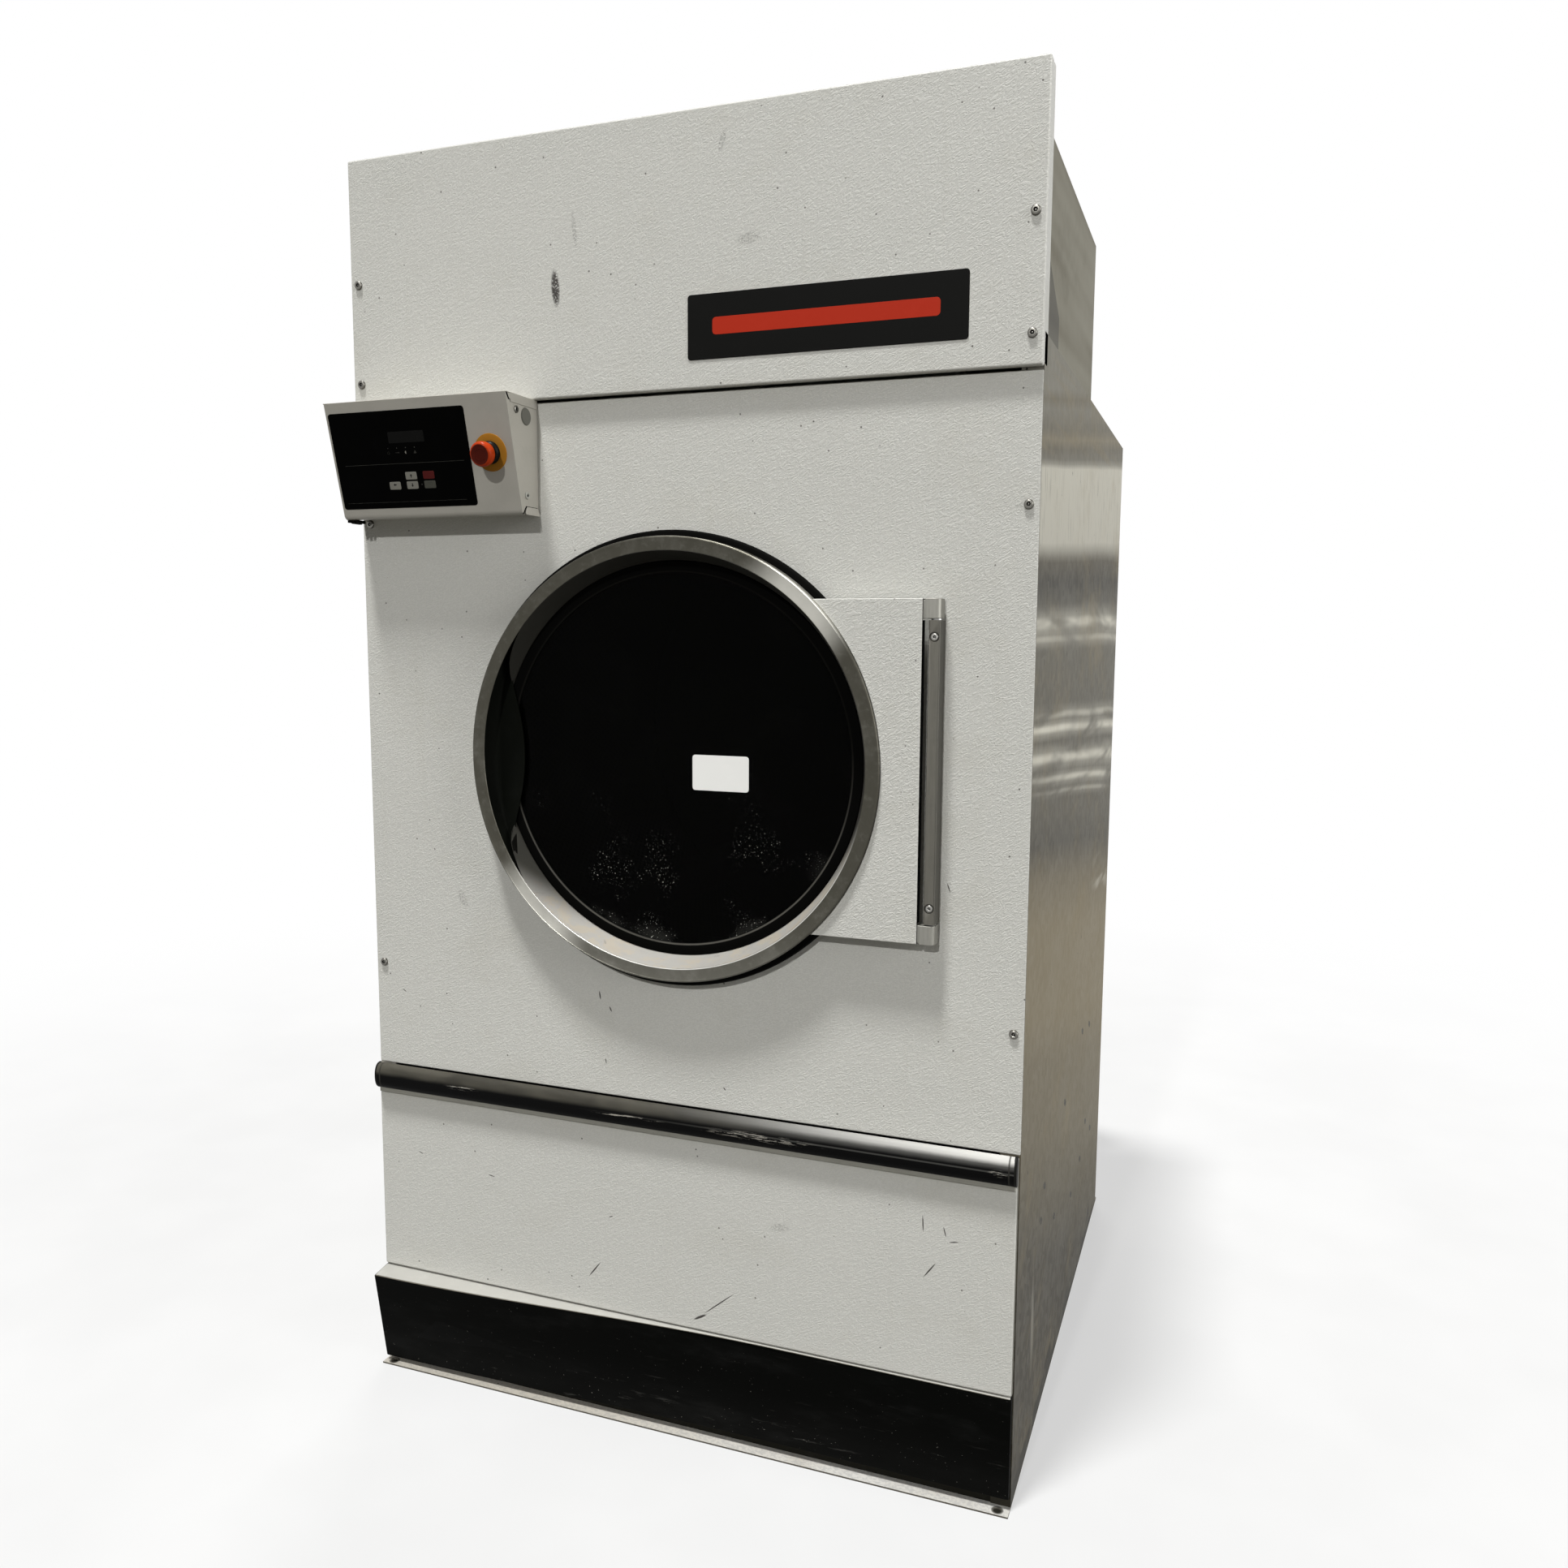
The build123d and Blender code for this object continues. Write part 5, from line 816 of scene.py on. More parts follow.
def drum_sheet(name):
    """Galvanised drum sheet with rows of round holes, painted near black as the shade seen through them.

    Holes repeat every pitch along the turn (angle times radius) and along the depth, every second row
    shifted by half a pitch; a hole is where the distance to the cell's middle is under its radius.
    """
    f = Finish(name)
    pitch, hole = 14 * MM, 4.2 * MM
    row_pitch = pitch * 0.866
    around = round(TURN * DRUM_RADIUS / pitch)
    x, z, radius = f.round_door()
    turn = Signal(f, f.node("ShaderNodeMath", {"operation": "ARCTAN2"}, {0: x, 1: z}).outputs[0])
    row = f.along("Y") / row_pitch
    across = turn * (around / TURN) + row.maths("FLOOR", row) * 0.5
    cell_u = abs(across.maths("FRACT", across) - 0.5) * pitch
    cell_v = abs(row.maths("FRACT", row) - 0.5) * row_pitch
    away = (cell_u * cell_u + cell_v * cell_v) ** 0.5
    holes = (1 - away.rise(hole * 0.85, hole)) * radius.rise(0.550, 0.553)
    cloud = f.noise(0.2, 4.0, 0.6)
    color = f.mix(cloud.rise(0.4, 0.7), (0.42, 0.41, 0.38), (0.50, 0.49, 0.46))
    # painted shade: the holes are near black
    color = f.mix(holes, color, (0.008, 0.008, 0.007))
    return f.surface(Base_Color=color, Metallic=(1 - holes) * 0.7, Roughness=cloud * 0.2 + 0.3,
                     Normal=f.bump(1 - holes, 0.6 * MM))


panel_white = (0.583, 0.58, 0.54)
upper_paint = grained_paint("upper_panel_paint", panel_white, 2.2, 1.70, (
    ("scuff", -0.19, 1.912, 0.009, 0.034, 4), ("faint", -0.155, 2.0, 0.005, 0.034, 6),
    ("faint", 0.143, 1.956, 0.024, 0.010, 10), ("faint", 0.10, 2.10, 0.006, 0.02, -15)), 0.30)
main_paint = grained_paint("main_panel_paint", panel_white, 1.745, 0.53, (
    ("scratch", 0.468, 0.985, 0.0011, 0.009, 20), ("scratch", -0.130, 0.754, 0.0016, 0.009, 8),
    ("scratch", -0.110, 0.732, 0.0016, 0.006, 25), ("scratch", -0.12, 0.64, 0.0011, 0.006, 10),
    ("scratch", 0.10, 0.62, 0.0012, 0.004, 40), ("faint", -0.4, 0.9, 0.01, 0.02, 30),
    ("scratch", -0.53, 0.72, 0.001, 0.005, 60)))
drawer_paint = grained_paint("drawer_paint", shade(panel_white, 0.97), 0.545, 0.14, (
    ("scratch", 0.092, 0.246, 0.0013, 0.042, -50), ("scratch", 0.058, 0.216, 0.0026, 0.016, -60),
    ("scratch", -0.143, 0.263, 0.0015, 0.022, -38), ("scratch", 0.452, 0.375, 0.0014, 0.019, -36),
    ("scratch", 0.44, 0.45, 0.0012, 0.016, 3), ("scratch", 0.475, 0.442, 0.0011, 0.010, 15),
    ("scratch", 0.49, 0.428, 0.009, 0.0011, 10), ("scratch", -0.5, 0.42, 0.0011, 0.006, 70),
    ("faint", 0.2, 0.40, 0.02, 0.008, 10), ("scratch", -0.35, 0.40, 0.008, 0.001, -8),
    ("scratch", -0.11, 0.365, 0.005, 0.001, 20)), 0.22)
# darker grey for the side returns of the front sheets: painted shade on faces turned away from the front
return_shade_paint = moulded("return_shade_paint", (0.20, 0.195, 0.17), 0.5, 0.3, 0.05, 0.1)
# darker top faces: dust, and painted shade that tones down the strong light on top
top_dust_and_shade = moulded("top_dust_and_shade", (0.33, 0.32, 0.285), 0.8, 0.3, 0.1, 0.05)
plate_paint = grained_paint("hinge_plate_paint", panel_white, 1.5, 0.83, grain=0.42)
box_paint = smooth_paint("control_box_paint", (0.395, 0.378, 0.332))
# the side panel's steps: its tones and bands are painted reflections of the room's lights
side_zinc = rolled_zinc("side_zinc", (0.62, 0.60, 0.52), (0.60, 0.50, 0.32), metal=0.25, steps=(
    (0.0, 0.065, 0.5), (0.40, 0.075, 0.6), (0.455, 0.13, 0.6), (0.60, 0.235, 0.8), (0.72, 0.265, 0.9),
    (0.79, 0.335, 1.0), (0.93, 0.335, 1.0), (1.00, 0.24, 0.9), (1.055, 0.09, 0.3), (1.10, 0.145, 0.3),
    (1.20, 0.15, 0.2), (1.34, 0.18, 0.2), (1.36, 0.30, 0.1), (1.40, 0.15, 0.1), (1.44, 0.06, 0.2),
    (1.472, 0.13, 0.6), (1.497, 0.84, 0.0), (1.603, 0.92, 0.0), (1.613, 0.26, 0.1), (1.632, 0.21, 0.4),
    (1.646, 0.34, 0.7), (1.656, 0.23, 0.4), (1.69, 0.31, 0.1), (1.70, 0.24, 0.6), (1.715, 0.33, 0.1),
    (1.80, 0.30, 0.1)))
left_zinc = rolled_zinc("left_zinc", (0.40, 0.385, 0.345), (0.30, 0.27, 0.215), 0.14, 0.8, 0.36, 0.4)
upper_zinc = rolled_zinc("upper_zinc", (0.255, 0.245, 0.205), (0.15, 0.138, 0.108), 0.10, 0.6, 0.36, 0.4)
bracket_zinc = rolled_zinc("bracket_zinc", (0.10, 0.095, 0.075), (0.05, 0.046, 0.034), 0.10, 0.6, 0.36, 0.1)
roof_zinc = rolled_zinc("roof_zinc", (0.34, 0.33, 0.29), (0.24, 0.222, 0.18), 0.3, 0.5, 0.42, 0.3)
base_zinc = rolled_zinc("base_zinc", (0.45, 0.44, 0.41), (0.40, 0.33, 0.225), 0.05, 1.0, 0.42, 0.1,
                        flakes=0.35)
inner_zinc = rolled_zinc("inner_zinc", (0.50, 0.49, 0.46), (0.34, 0.33, 0.31), 0.3, 0.3, 0.36)
perforated_zinc = drum_sheet("drum_sheet")
# near black for the base's front riser and anchor holes: painted shade with grime
riser_shade_and_grime = moulded("riser_shade_and_grime", (0.012, 0.0115, 0.009), 0.7, 0.4, 0.1, 0.02)
# the ring's steel: a dark tone, and glare_tone for its painted glare and highlights
ring_steel = turned_steel("ring_steel", (0.055, 0.052, 0.040), (0.50, 0.49, 0.44), 0.85)
cone_steel = cone_metal("cone_steel")
hinge_steel = brushed("hinge_steel", (0.105, 0.10, 0.084), (0.003, 0.003, 0.05), 0.42, 0.3, 0.7)
lug_steel = brushed("lug_steel", (0.22, 0.215, 0.19), (0.003, 0.003, 0.05), 0.42, 0.3, 0.6)
# a darker copy of the hinge steel for the bar's right side: painted shade
bar_shaded_side_steel = brushed("bar_shaded_side_steel", (0.07, 0.067, 0.056), (0.003, 0.003, 0.05), 0.5, 0.3, 0.6)
plain_steel = brushed("plain_steel", (0.42, 0.42, 0.41), (0.01, 0.01, 0.01), 0.36)
screw_steel = brushed("screw_steel", (0.15, 0.145, 0.13), (0.002, 0.002, 0.002), 0.3)
dull_steel = brushed("dull_steel", (0.26, 0.255, 0.235), (0.002, 0.002, 0.002), 0.34)
# the bumper's retainer strip, its grey darkened as painted shade under the bumper
retainer_metal_shaded = brushed("retainer_metal_shaded", (0.20, 0.195, 0.165), (0.08, 0.002, 0.002), 0.45, metal=0.2)
socket_shade = moulded("socket_shade", (0.006, 0.006, 0.005), 0.6, 0.1, 0.02, 0.02)
plug_grey = moulded("plug_grey", (0.14, 0.138, 0.12), 0.5, 0.2, 0.05, 0.1)
plug_pale = moulded("plug_pale", (0.42, 0.42, 0.38), 0.5, 0.2, 0.05, 0.1)
stripe_red = moulded("stripe_red", (0.42, 0.028, 0.011), 0.5, 0.1, 0.02, 0.06)
cast_paint = moulded("cast_paint", (0.10, 0.105, 0.11), 0.5, 0.3, 0.25, 0.3)
motor_enamel = moulded("motor_enamel", (0.055, 0.08, 0.11), 0.38, 0.2, 0.05, 0.3)
belt_rubber = moulded("belt_rubber", (0.022, 0.022, 0.023), 0.6, 0.15, 0.1)
# black seal rubber; also used as painted shade on the drawer's top return, the hinge plate's right edge and the
# box's seams
seal_rubber_and_shade = moulded("seal_rubber_and_shade", (0.0025, 0.0025, 0.0022), 0.6, 0.08, 0.05, 0.01)
channel_rubber = dusty_channel("channel_rubber")
black_plastic = moulded("black_plastic", (0.006, 0.006, 0.005), 0.4, 0.12, 0.06, 0.06)
handle_plastic = moulded("handle_plastic", (0.0035, 0.004, 0.003), 0.6, 0.12, 0.06, 0.02)
ledge_dust = moulded("ledge_dust", (0.30, 0.295, 0.27), 0.8, 0.3, 0.1)
# brown-grey grime on the kickplate's top fold; on the base flange's outer edges a dark line of painted shade
# with grime
edge_grime_and_shade = moulded("edge_grime_and_shade", (0.10, 0.092, 0.075), 0.7, 0.3, 0.1, 0.02)
bumper_vinyl = bumper_skin("bumper_vinyl")
kick_paint = scuffed_black("kick_paint", (0.0012, 0.0013, 0.001))
plate_black = moulded("plate_black", (0.0045, 0.0045, 0.004), 0.5, 0.05, 0.03, 0.04)
overlay_film = moulded("overlay_film", (0.0006, 0.0006, 0.0005), 0.35, 0.05, 0.0, 0.01)
window_film = moulded("window_film", (0.0035, 0.0035, 0.003), 0.25, 0.15, 0.0, 0.04)
print_dark = moulded("print_dark", (0.01, 0.01, 0.01), 0.5, 0.0, 0.0, 0.02)
print_light = moulded("print_light", (0.07, 0.07, 0.062), 0.5, 0.1, 0.0, 0.02)
red_plastic = moulded("red_plastic", (0.36, 0.034, 0.005), 0.3, 0.02, 0.0, 0.08)
# a darker red for the stop head's face and arrows: painted shade
red_face_shaded = moulded("red_face_shaded", (0.075, 0.010, 0.006), 0.45, 0.02, 0.02, 0.04)
yellow_plastic = moulded("yellow_plastic", (0.38, 0.17, 0.02), 0.5, 0.15, 0.02, 0.05)
key_grey = moulded("key_grey", (0.235, 0.23, 0.20), 0.5, 0.2, 0.02, 0.1)
key_red = moulded("key_red", (0.085, 0.012, 0.011), 0.5, 0.3, 0.02, 0.05)
key_dim = moulded("key_dim", (0.075, 0.075, 0.062), 0.5, 0.2, 0.02, 0.05)
label_paper = moulded("label_paper", (0.86, 0.86, 0.83), 0.55, 0.05, 0.02)
seal_felt = moulded("seal_felt", (0.30, 0.29, 0.27), 0.9, 0.2, 0.4)
board_green = moulded("board_green", (0.03, 0.16, 0.07), 0.5, 0.1, 0.05)
door_glass = dark_glass("dark_glass")


# Sheet metal fronts

def main_panel():
    """The main front panel: a flat sheet whose rows run from its outline to the round opening.

    Every row has the same number of points. Those on the opening lie at the same angle from the
    door's middle as the outline's point, so the rows between them are straight spokes.
    """
    outline = rectangle(panel_low[0], panel_high[0], panel_low[2], panel_high[2], 3 * MM, 4, step=28 * MM)
    bench = Bench((0, FRONT, 0))
    fold, lip = 1.6 * MM, 25 * MM
    rib_inset, rib_depth = 34 * MM, 20 * MM
    edge = pan_rows(0, fold, SHEET)[:7] + [(0.2 * MM, SHEET), (rib_inset, SHEET), (rib_inset, rib_depth)]
    edge += [(rib_inset + SHEET, rib_depth), (rib_inset + SHEET, SHEET)]
    rows = [bench.at(outline.inside(inward), height) for inward, height in edge]
    away = outline.inside(0) - door_center[[0, 2]]
    spoke = away / np.linalg.norm(away, axis=1)[:, None]
    hole, rounding = OPENING_RADIUS, 3 * MM
    angle = np.linspace(0, math.pi / 2, 5)
    rim = [(hole + SHEET, SHEET), (hole + SHEET, lip), (hole, lip)]
    rim += [(hole + rounding * (1 - math.cos(a)), rounding * (1 - math.sin(a))) for a in angle]
    rim += [(hole + rounding + CALM, 0)]
    rows += [bench.at(door_center[[0, 2]] + spoke * radius, height) for radius, height in rim]
    return Form().grid(np.stack(rows), close_rows=True, close_columns=True)


# painted shade: the main panel's side returns are darker grey
repainted(
    main_panel().piece("main_front_panel_sheet", [main_paint], "cabinet", "panel_paint", "main_front_panel"),
    return_shade_paint, on_return)


def upper_panel():
    """The upper front panel: a shallow pan, its sides reaching further back above the side panels."""
    low, high = reach("upper_front_panel")
    step_z = reach("upper_panel_brackets")[0][2]
    outline = rectangle(low[0], high[0], low[2], high[2], 3 * MM, 4, stops=(step_z, step_z + 0.05 * MM))
    bench = Bench((0, low[1], 0))
    z = outline.inside(0)[:, 1]
    side_depth, top_depth = FRONT + 26 * MM - low[1], high[1] - low[1]
    depth = np.where(z > high[2] - 0.01 * MM, top_depth, np.where(z > step_z, side_depth, FRONT - low[1]))
    return Form().carried(outline, bench, pan_rows(SHEET, 2.6 * MM, depth))


# the upper panel's top face takes the darker top finish: dust and painted shade
repainted(
    upper_panel().piece("upper_front_panel_sheet", [upper_paint], "cabinet", "panel_paint",
                        "upper_front_panel"),
    top_dust_and_shade, lambda middle, normal: (middle[:, 2] > 2.14) & (normal[:, 2] > 0.8))


def drawer_pan():
    """The lint drawer's front: a shallow pan, open at the back, its top return painted black as the shade of
    the gap above it.
    """
    low, high = reach("drawer_front")
    outline = rectangle(low[0], high[0], low[2], high[2], 3 * MM, 4)
    form = Form().carried(outline, Bench((0, low[1], 0)), pan_rows(SHEET, 2.6 * MM, high[1] - low[1]))
    # painted shade: the top fold and return are black
    return form.topped(outline, range(7), 1)


# painted shade: the drawer front's side returns are darker grey
repainted(
    drawer_pan().piece("drawer_front_sheet", [drawer_paint, seal_rubber_and_shade], "lint_drawer", "panel_paint",
                       "drawer_front"),
    return_shade_paint, on_return)


def bent_kickplate():
    """The kickplate, a thin pan that is pushed in at its right end and stands proud at its left.

    Share s = t^2 (3 - 2 t) goes from 0 at the left end to 1 two thirds along, and h is a point's
    height in the plate from 0 to 1. It moves back by push * s + (1 - s) (tuck (1 - h) - lean h), so the
    left end leans out over its foot, and down by sink (1 - s)(1 - h / 2). Both fade to 0 at the back.
    """
    low, high = reach("kickplate")
    outline = rectangle(low[0], high[0], low[2], high[2], 2 * MM, 4, step=60 * MM)
    form = Form().carried(outline, Bench((0, low[1], 0)), pan_rows(SHEET, 1.2 * MM, high[1] - low[1]))
    push, lean, tuck, sink = 13 * MM, 19 * MM, 10 * MM, 11 * MM
    for points in form.points:
        along = np.clip((points[:, 0] - low[0]) / (0.66 * (high[0] - low[0])), 0, 1)
        share = along**2 * (3 - 2 * along)
        tall = (points[:, 2] - low[2]) / (high[2] - low[2])
        front = 1 - (points[:, 1] - low[1]) / (high[1] - low[1])
        points[:, 1] += (push * share + (1 - share) * (tuck * (1 - tall) - lean * tall)) * front
        points[:, 2] -= sink * (1 - share) * (1 - 0.5 * tall) * front
    return form.topped(outline, (5,), 1).topped(outline, (2, 3, 4), 2)


bent_kickplate().piece("kickplate_sheet", [kick_paint, ledge_dust, edge_grime_and_shade],
                       "cabinet", "black_paint", "kickplate")


# Door

def arc(center, radius, first, last, steps=6):
    """Points (radius, height) on an arc between two angles in degrees."""
    angle = np.radians(np.linspace(first, last, steps))
    return [(center[0] + radius * math.cos(a), center[1] + radius * math.sin(a)) for a in angle]


ring_low, ring_high = reach("door_ring")
RING_RADIUS = (ring_high[0] - ring_low[0]) / 2
RING_FACE = ring_low[1] - FRONT
CONE_Y = 5 * MM
door_bench = Bench(door_center)


def door_ring():
    """The door's steel ring: outer wall with a rolled bead, flat band, cone and the glass lip.

    The band is a closed profile turned all the way round. The cone is a strip whose ends are cut
    in a double curve where the handle lies: a point at share t down the cone starts and stops at
    the angles read from the two end curves, and the rows between are evenly spaced.
    """
    wall = SHEET
    bead = 3.0 * MM
    rim, face = RING_RADIUS, RING_FACE
    back = ring_high[1] - FRONT
    profile = arc((rim - bead, face + bead), bead, 0, -90, 7) + [(rim - bead - 1.5 * MM, face + 0.7 * MM)]
    profile += arc((BAND_INNER + 1.6 * MM, face + 2.1 * MM), 1.6 * MM, -90, -170, 5)
    profile += [(BAND_INNER + 1.6 * MM, face + 3.2 * MM), (rim - wall - 1.5 * MM, face + 3.2 * MM),
                (rim - wall, face + 5 * MM), (rim - wall, -14 * MM), (rim, -14 * MM)]
    form = Form().turned(profile, door_bench, 192)
    share = np.array((0.0, 0.16, 0.32, 0.61, 1.0, 1.05))
    top_end = np.array((140.5, 147.2, 151.25, 155.3, 159.3, 160.0))
    low_end = np.array((219.0, 213.25, 207.5, 203.8, 200.9, 200.2))
    t = np.concatenate((np.linspace(0, 1, 9), (1.0,), (1.0,), np.linspace(1, 0, 9)))
    down = np.linspace(0, 1, 9)
    radius = BAND_INNER + (CONE_INNER - BAND_INNER) * down
    depth = face + 0.7 * MM + (CONE_Y - face) * down
    thick = 1.6 * MM
    radius = np.concatenate((radius, (CONE_INNER, CONE_INNER + SHEET), radius[::-1] + thick))
    depth = np.concatenate((depth, (back, back), depth[::-1] + 0.5 * thick))
    first = np.interp(t, share, low_end) - 360
    last = np.interp(t, share, top_end)
    sweep = np.linspace(0, 1, 161)
    angle = np.radians(first[:, None] + (last - first)[:, None] * sweep)
    flat = radius[:, None, None] * np.stack((np.cos(angle), np.sin(angle)), -1)
    points = door_bench.at(flat, depth[:, None])
    form.grid(points, close_rows=True, finish=1)
    form.face(points[:, 0], 1)
    form.face(points[:, -1], 1)
    return form


door_ring().piece("door_ring_steel", [ring_steel, cone_steel], "door", "brushed_steel", "door_ring")


def handle_scoop():
    """The black scoop: a wall under the band and a floor whose free edge bows towards the glass.

    Across the scoop the surface goes from the wall, hidden behind the band, round a large fillet
    to the floor: at share t across, its height above the floor falls as (1 - t / 0.28)^2.2. The free
    edge lies 298 - 20.5 (1 - (z / 118)^2)^1.2 mm to the left of the door's middle, with z the height
    from it. Along the scoop the rows follow the ring, and both ends run out to a point under the band.
    """
    half_angle = math.radians(39)
    rows = 61
    angle = math.pi + np.linspace(half_angle, -half_angle, rows)
    outer = 344 * MM
    x_wall = outer * np.cos(angle)
    z = outer * np.sin(angle)
    x_edge = -(298 - 20.5 * np.clip(1 - (z / (118 * MM))**2, 0, 1)**1.2) * MM
    x_edge = np.maximum(x_edge, x_wall + 1.5 * MM)
    face, floor = RING_FACE + 3.4 * MM, -1.0 * MM
    across = np.linspace(0, 1, 25)[:, None]
    x = x_wall + (x_edge - x_wall) * across
    dip = np.clip(1 - across / 0.28, 0, 1)**2.2
    y = floor + (face - floor) * dip * np.ones(rows)
    thick = 1.6 * MM
    top = np.stack((x, y, np.broadcast_to(z, x.shape)), -1)
    under = top + (0, thick, 0)
    loop = np.concatenate((top, under[::-1]))
    points = door_center + loop
    form = Form().grid(points, close_rows=True)
    form.face(points[:, 0])
    form.face(points[:, -1])
    return form


handle_scoop().piece("handle_scoop", [handle_plastic], "door", "black_plastic", "door_handle")

gasket_profile = [(CONE_INNER - 0.2 * MM, 4 * MM), (CONE_INNER - 1.2 * MM, 3.2 * MM),
                  (CONE_INNER - 3.2 * MM, 3.0 * MM), (GASKET_INNER + 3 * MM, 4.4 * MM),
                  (GASKET_INNER + 0.8 * MM, 5.0 * MM), (GASKET_INNER, 5.9 * MM), (GASKET_INNER, 6.9 * MM),
                  (GLASS_RADIUS, 6.9 * MM), (GLASS_RADIUS, 13.1 * MM), (GASKET_INNER, 13.1 * MM),
                  (GASKET_INNER + 0.5 * MM, 16.5 * MM), (CONE_INNER - 0.2 * MM, 16.9 * MM)]
Form().turned(gasket_profile, door_bench, 160).piece(
    "glass_channel", [channel_rubber], "door", "rubber", "glass_gasket")
glass_profile = in_mm((0, 7), (100, 7), (200, 7), (311.5, 7), (312, 7.5), (312, 12.5), (311.5, 13),
                      (200, 13), (0, 13))
Form().turned(glass_profile, door_bench, 128, closed=False).piece(
    "door_glass_pane", [door_glass], "door", "glass", "door_glass")
seal_profile = in_mm((345.2, -19.8), (360, -19.8), (366, -18), (368.3, -14), (368.3, -9), (365.5, -7),
                     (368.3, -4.5), (366, -0.6), (347, -0.6), (345.2, -4))
Form().turned(seal_profile, door_bench, 160).piece(
    "door_seal_ring", [seal_rubber_and_shade], "door", "rubber", "door_seal")

BAR_RIGHT, PLATE_RIGHT = reach("hinge_bar")[1][0], reach("door_hinge_plate")[1][0]
# painted shade: the hinge plate's right edge faces are black, for the gap beside the hinge bar
repainted(
    dressed("door_hinge_plate", plate_paint, 1.0 * MM, 3), seal_rubber_and_shade,
    lambda middle, normal: (middle[:, 0] > PLATE_RIGHT - 1 * MM) & (normal[:, 0] > 0.5))
dressed("hinge_lugs", lug_steel, 0.6 * MM)
# painted shade: the bar's right side faces take the darker steel
repainted(
    dressed("hinge_bar", hinge_steel, 0.4 * MM), bar_shaded_side_steel,
    lambda middle, normal: (middle[:, 0] > BAR_RIGHT - 5 * MM) & (normal[:, 0] > 0.3))


# Control box

dressed("control_box", box_paint, 0.7 * MM, 3)
dressed("control_lid", box_paint, 0.5 * MM)
box_low, box_high = reach("control_box")
FACE_LEAN = math.atan2(42.5, 177)  # the sloping face runs back 42.5 mm over 177 mm of height
face_bench = Bench((0, box_low[1], box_high[2]), RIGHT, (0, -math.sin(FACE_LEAN), math.cos(FACE_LEAN)),
                   (0, math.cos(FACE_LEAN), math.sin(FACE_LEAN)))


def tile(form, corners, radius, front, depth, finish, bench=face_bench, edge=0.1 * MM, arc=4):
    """A thin plate on a face: its outline, how far its front stands off, its depth and its finish."""
    return form.carried(Outline(corners, radius, arc), bench.moved(out=front), slab_rows(depth, edge), finish)


def box_corners(x, up, wide, high):
    """Corners of a rectangle round a middle, anticlockwise."""
    return [(x - wide / 2, up - high / 2), (x + wide / 2, up - high / 2),
            (x + wide / 2, up + high / 2), (x - wide / 2, up + high / 2)]


def arrow_corners(x, up, direction, long=6 * MM, head=4.6 * MM, shaft=1.7 * MM):
    """An arrow's corners round a middle, pointing along a direction (across, up), anticlockwise."""
    ahead = np.array(direction, float)
    side = np.array((-ahead[1], ahead[0]))
    neck = long / 2 - 0.62 * head
    steps = ((-long / 2, -shaft / 2), (neck, -shaft / 2), (neck, -head / 2), (long / 2, 0),
             (neck, head / 2), (neck, shaft / 2), (-long / 2, shaft / 2))
    return [np.array((x, up)) + forward * ahead + sideways * side for forward, sideways in steps]


def control_face():
    """The black overlay: dim window, four small signs, two thin lines and five raised keys."""
    form = Form()
    film, window, grey, red, dim, pale, dark = range(7)
    front = -0.8 * MM
    raised, key_face = front - 0.05 * MM, front - 0.5 * MM
    on_key = key_face - 0.04 * MM

    def printed(corners, radius, finish, face=raised, edge=0.02 * MM, arc=4):
        tile(form, corners, radius, face, 0.15 * MM, finish, edge=edge, arc=arc)

    tile(form, in_mm((-582, -173), (-316, -173), (-316, -16), (-582, -16)), 5 * MM, front, 0.8 * MM, film,
         edge=0.25 * MM)
    printed(box_corners(-434 * MM, -59 * MM, 70 * MM, 18 * MM), 1.5 * MM, window, edge=0.1 * MM)
    for x, up, wide in ((-446.5 * MM, -101 * MM, 235 * MM), (-453.5 * MM, -163 * MM, 237 * MM)):
        printed(box_corners(x, up, wide, 0.7 * MM), 0.2 * MM, pale, edge=0.03 * MM)
    signs = -473 * MM, -455.5 * MM, -438 * MM, -420.5 * MM
    for x in signs:
        printed(box_corners(x, -76 * MM, 1.6 * MM, 1.6 * MM), 0.7 * MM, pale, edge=0.03 * MM)
    up = -83.5 * MM
    for angle in np.linspace(0, TURN, 8, endpoint=False):
        spot = signs[0] + 2.1 * MM * math.cos(angle), up + 2.1 * MM * math.sin(angle)
        printed(box_corners(*spot, 0.8 * MM, 0.8 * MM), 0.3 * MM, pale)
    printed(arrow_corners(signs[1], up, (1, 0), 8 * MM, 2.4 * MM, 0.7 * MM), 0, pale, arc=1)
    half = np.linspace(math.pi / 2, 3 * math.pi / 2, 12)
    moon = [(signs[2] + 2.6 * MM * math.cos(a), up + 2.6 * MM * math.sin(a)) for a in half]
    printed(moon, 0, grey, arc=1)
    for high in (-1.6 * MM, 0.0, 1.6 * MM):
        printed(box_corners(signs[3], up + high, 3.4 * MM - high, 0.9 * MM), 0.2 * MM, pale)
    low_row, high_row = -136.5 * MM, -121.3 * MM
    left, middle, right = -470.5 * MM, -436 * MM, -401.5 * MM
    for x, key_up, finish in ((left, low_row, grey), (middle, low_row, grey), (right, low_row, dim),
                              (middle, high_row, grey), (right, high_row, red)):
        tile(form, box_corners(x, key_up, 22 * MM, 12.5 * MM), 2 * MM, key_face, 0.6 * MM, finish,
             edge=0.35 * MM)
    for x, key_up, way in ((left, low_row + 1.6 * MM, (-1, 0)), (middle, low_row, (0, -1)),
                           (middle, high_row, (0, 1))):
        printed(arrow_corners(x, key_up, way), 0, dark, on_key, arc=1)
    printed(box_corners(right, low_row + 3 * MM, 9 * MM, 1.2 * MM), 0.3 * MM, pale, on_key)
    printed(box_corners(-417.5 * MM, low_row + 0.6 * MM, 1.8 * MM, 1.8 * MM), 0.8 * MM, pale, edge=0.03 * MM)
    return form


